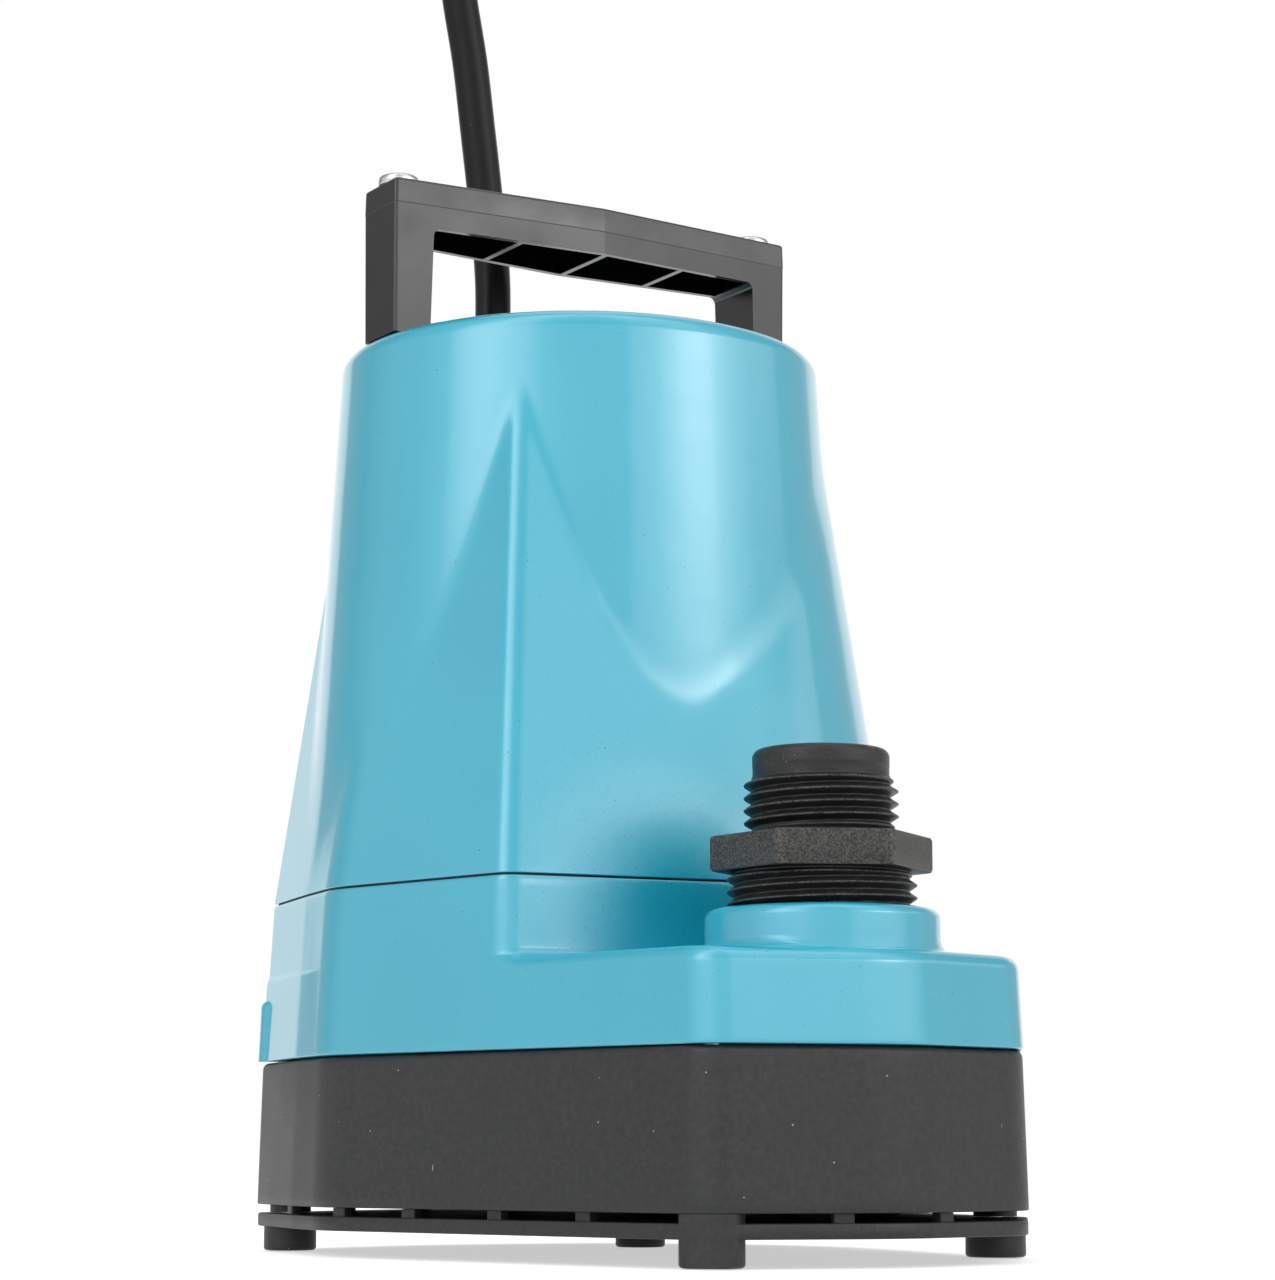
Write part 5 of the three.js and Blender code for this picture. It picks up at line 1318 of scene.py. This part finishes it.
def plug_rows():
    """Rounded rectangles along the plug's axis, with fine grip grooves pressed into its waist."""
    along = np.concatenate([np.linspace(0.3, 15.6, 22), np.linspace(16, 33, 69), np.linspace(33.5, 47, 18)])
    high, wide, corner = (np.interp(along, PLUG_SECTIONS[:, 0], PLUG_SECTIONS[:, k]) for k in (1, 2, 3))
    angles = around(96)
    grip = ease(along, 17.5, 19) * ease(32 - along, 0, 1.5) * 0.35 * (0.5 - 0.5 * np.cos(CIRCLE * along / 2.2))
    neck = ease(along, 2, 3) * ease(13 - along, 0, 1) * 0.5 * (0.5 - 0.5 * np.cos(CIRCLE * along / 2.6))
    rows = []
    for a, h, w, r, press in zip(along, high, wide, corner, grip + neck):
        r = min(r, h - 0.05, w - 0.05)
        discs = np.array([(sx * (h - r), sy * (w - r), r) for sx in (-1, 1) for sy in (-1, 1)])
        out = reach(discs, angles, press)
        rows.append(np.stack([PLUG_START[0] + out * np.sin(angles), np.full_like(angles, PLUG_START[1] - 0.3 - a),
                              PLUG_START[2] + out * np.cos(angles)], -1))
    return np.stack(rows)


plug = finish(solid("moulded_plug", *skin(plug_rows())), PLUG, ["plug_body"], angle=45)

for piece in (cord, plug, tie):  # in the photograph the cord goes straight up, and nothing of it is mirrored
    piece.visible_glossy = False

# %% [markdown]
# ## Floor, surroundings and lamps
# The photograph has a pure white ground. The floor is white where it is lit, and keeps a soft shadow. What the
# gloss shows is the studio: a bright screen low on the right, a dimmer one on the left, a pale front and a
# white sheet behind. They are drawn in the world's colour by direction, for glossy rays, and the camera sees
# plain white. A broad soft lamp on each side and one above give the shading.


# %% The floor
FLOOR_HALF, FLOOR_LEVEL, FLOOR_GLOW = 30, -0.0002, 0.55


def floor():
    """A large square of white paper. It glows a little where the camera or a reflection sees it, which lifts it
    to the photograph's white, and not for the light that it sends up to the pump."""
    mesh = bpy.data.meshes.new("floor")
    corners = [(x, y, FLOOR_LEVEL) for x, y in FLOOR_HALF * np.array([(-1, -1), (1, -1), (1, 1), (-1, 1)])]
    mesh.from_pydata(corners, [], [(0, 1, 2, 3)])
    made = bpy.data.objects.new("floor", mesh)
    bpy.context.scene.collection.objects.link(made)
    paper, tree, shader, _ = new_material("white_paper")
    connect(tree, shader, {"Base Color": "#e9e9e9", "Roughness": 0.9, "Specular IOR Level": 0.0})
    glow = add(tree, "ShaderNodeEmission", {"Color": (1, 1, 1, 1), "Strength": FLOOR_GLOW})
    path = add(tree, "ShaderNodeLightPath")
    seen = add(tree, "ShaderNodeMath", {0: path.outputs["Is Camera Ray"], 1: path.outputs["Is Glossy Ray"]},
               operation="MAXIMUM")
    lit = add(tree, "ShaderNodeAddShader", {0: shader, 1: glow})
    mixed = add(tree, "ShaderNodeMixShader", {0: seen, 1: shader, 2: lit})
    connect(tree, tree.nodes["Material Output"], {"Surface": mixed})
    mesh.materials.append(paper)
    return made


floor()
print("floor made")

# %% The studio, as the gloss sees it
# Directions are in degrees from the camera's side, right positive, each with a brightness. STEADY is what the
# room shows at every height, dimmed a little overhead, and each screen adds to it within its own heights, which
# are degrees above the horizon with a share.
STEADY = [(-180, 1.1), (-144, 1.1), (-141, 0.4), (-118, 0.42), (-100, 0.9), (-80, 1.1), (-64, 1.5), (-45, 1.9),
          (-25, 2.1), (-10, 1.6), (5, 1.45), (23, 1.45), (26, 1.9), (40, 2.1), (70, 2.0), (80, 1.7), (90, 1.0),
          (109, 0.9), (111, 0.75), (135, 0.5), (142, 0.6), (145, 1.1), (180, 1.1)]
LEFT_SCREEN = [(-180, 0.0), (-64, 0.0), (-61, 0.9), (-50, 2.0), (-42, 2.0), (-28, 1.0), (-15, 0.0), (180, 0.0)]
RIGHT_SCREEN = [(-180, 0.0), (24, 0.0), (28, 0.4), (38, 0.9), (46, 2.5), (52, 3.7), (58, 4.3), (65, 4.0),
                (70, 2.2), (77, 1.2), (95, 1.0), (108, 0.5), (110, 0.0), (180, 0.0)]
OVERHEAD = [(22, 1.0), (28, 0.68), (50, 0.8), (80, 1.0)]
LEFT_HEIGHTS = [(9, 0.0), (20, 1.0), (40, 1.0), (60, 0.3)]
RIGHT_HEIGHTS = [(11, 0.0), (20, 1.0), (21.5, 1.0), (24.5, 0.05)]
BRIGHTEST = 4.4
DIFFUSE_LEVEL = 0.62

world = bpy.data.worlds.new("studio")
bpy.context.scene.world = world
world.use_nodes = True
tree = world.node_tree
tree.nodes.clear()
way = add(tree, "ShaderNodeSeparateXYZ", {0: add(tree, "ShaderNodeTexCoord").outputs["Generated"]})
azimuth = add(tree, "ShaderNodeMath", {0: way.outputs["Y"], 1: way.outputs["X"]}, operation="ARCTAN2")
turns = add(tree, "ShaderNodeMapRange", {0: azimuth, 1: -1.25 * np.pi, 2: 0.75 * np.pi, 3: 0.0, 4: 1.0},
            clamp=False)
round_share = add(tree, "ShaderNodeMath", {0: turns}, operation="FRACT")


def surroundings(directions, heights):
    """A ramp over the whole circle, with the camera's side in its middle, times a ramp over the height."""
    level = add(tree, "ShaderNodeValToRGB", {0: round_share},
                [((degrees + 180) / 360, tone / BRIGHTEST) for degrees, tone in directions])
    share = add(tree, "ShaderNodeValToRGB", {0: way.outputs["Z"]},
                [(math.sin(math.radians(degrees)), tone) for degrees, tone in heights])
    return add(tree, "ShaderNodeMix", {FACTOR: 1.0, UNDER: level, OVER: share}, data_type="RGBA",
               blend_type="MULTIPLY")


studio = surroundings(STEADY, OVERHEAD)
for screen, heights in ((LEFT_SCREEN, LEFT_HEIGHTS), (RIGHT_SCREEN, RIGHT_HEIGHTS)):
    studio = add(tree, "ShaderNodeMix", {FACTOR: 1.0, UNDER: studio, OVER: surroundings(screen, heights)},
                 data_type="RGBA", blend_type="ADD")
print("studio drawn,", len(STEADY), "steps round")

# %% Which rays see what: the gloss the studio, the camera white, and everything else an even light
path = add(tree, "ShaderNodeLightPath")
mirrored = add(tree, "ShaderNodeBackground", {"Color": studio, "Strength": BRIGHTEST})
even_light = add(tree, "ShaderNodeBackground", {"Color": (1, 1, 1, 1), "Strength": DIFFUSE_LEVEL})
white = add(tree, "ShaderNodeBackground", {"Color": (1, 1, 1, 1), "Strength": 1.0})
unseen = add(tree, "ShaderNodeMixShader", {0: path.outputs["Is Glossy Ray"], 1: even_light, 2: mirrored})
shown = add(tree, "ShaderNodeMixShader", {0: path.outputs["Is Camera Ray"], 1: unseen, 2: white})
add(tree, "ShaderNodeOutputWorld", {0: shown})
world.cycles.sampling_method = "NONE"
print("studio lit")


# %% Lamps
def lamp(name, degrees, height, away, size, watts):
    """A soft square lamp, that many degrees to the right of the camera's side, aimed at the pump's middle."""
    light = bpy.data.lights.new(name, "AREA")
    light.shape, light.size, light.energy = "SQUARE", size, watts
    made = bpy.data.objects.new(name, light)
    bpy.context.scene.collection.objects.link(made)
    turn = math.radians(degrees - 45)
    made.location = (away * math.cos(turn), away * math.sin(turn), height)
    aim = Vector((0, 0, 0.1)) - made.location
    made.rotation_euler = aim.to_track_quat("-Z", "Y").to_euler()
    made.visible_camera = made.visible_glossy = False
    return made


lamp("right_screen", 55, height=0.75, away=1.2, size=0.9, watts=5.0)
lamp("left_screen", -58, height=0.75, away=1.2, size=0.9, watts=4.0)
lamp("front_fill", 0, height=0.5, away=1.6, size=1.2, watts=2.5)
lamp("top_light", 180, height=1.5, away=0.5, size=1.2, watts=3.0)
bpy.context.scene.view_settings.view_transform = "Standard"
print("lamps placed")

# %% Check the size and finish
bpy.context.view_layer.update()
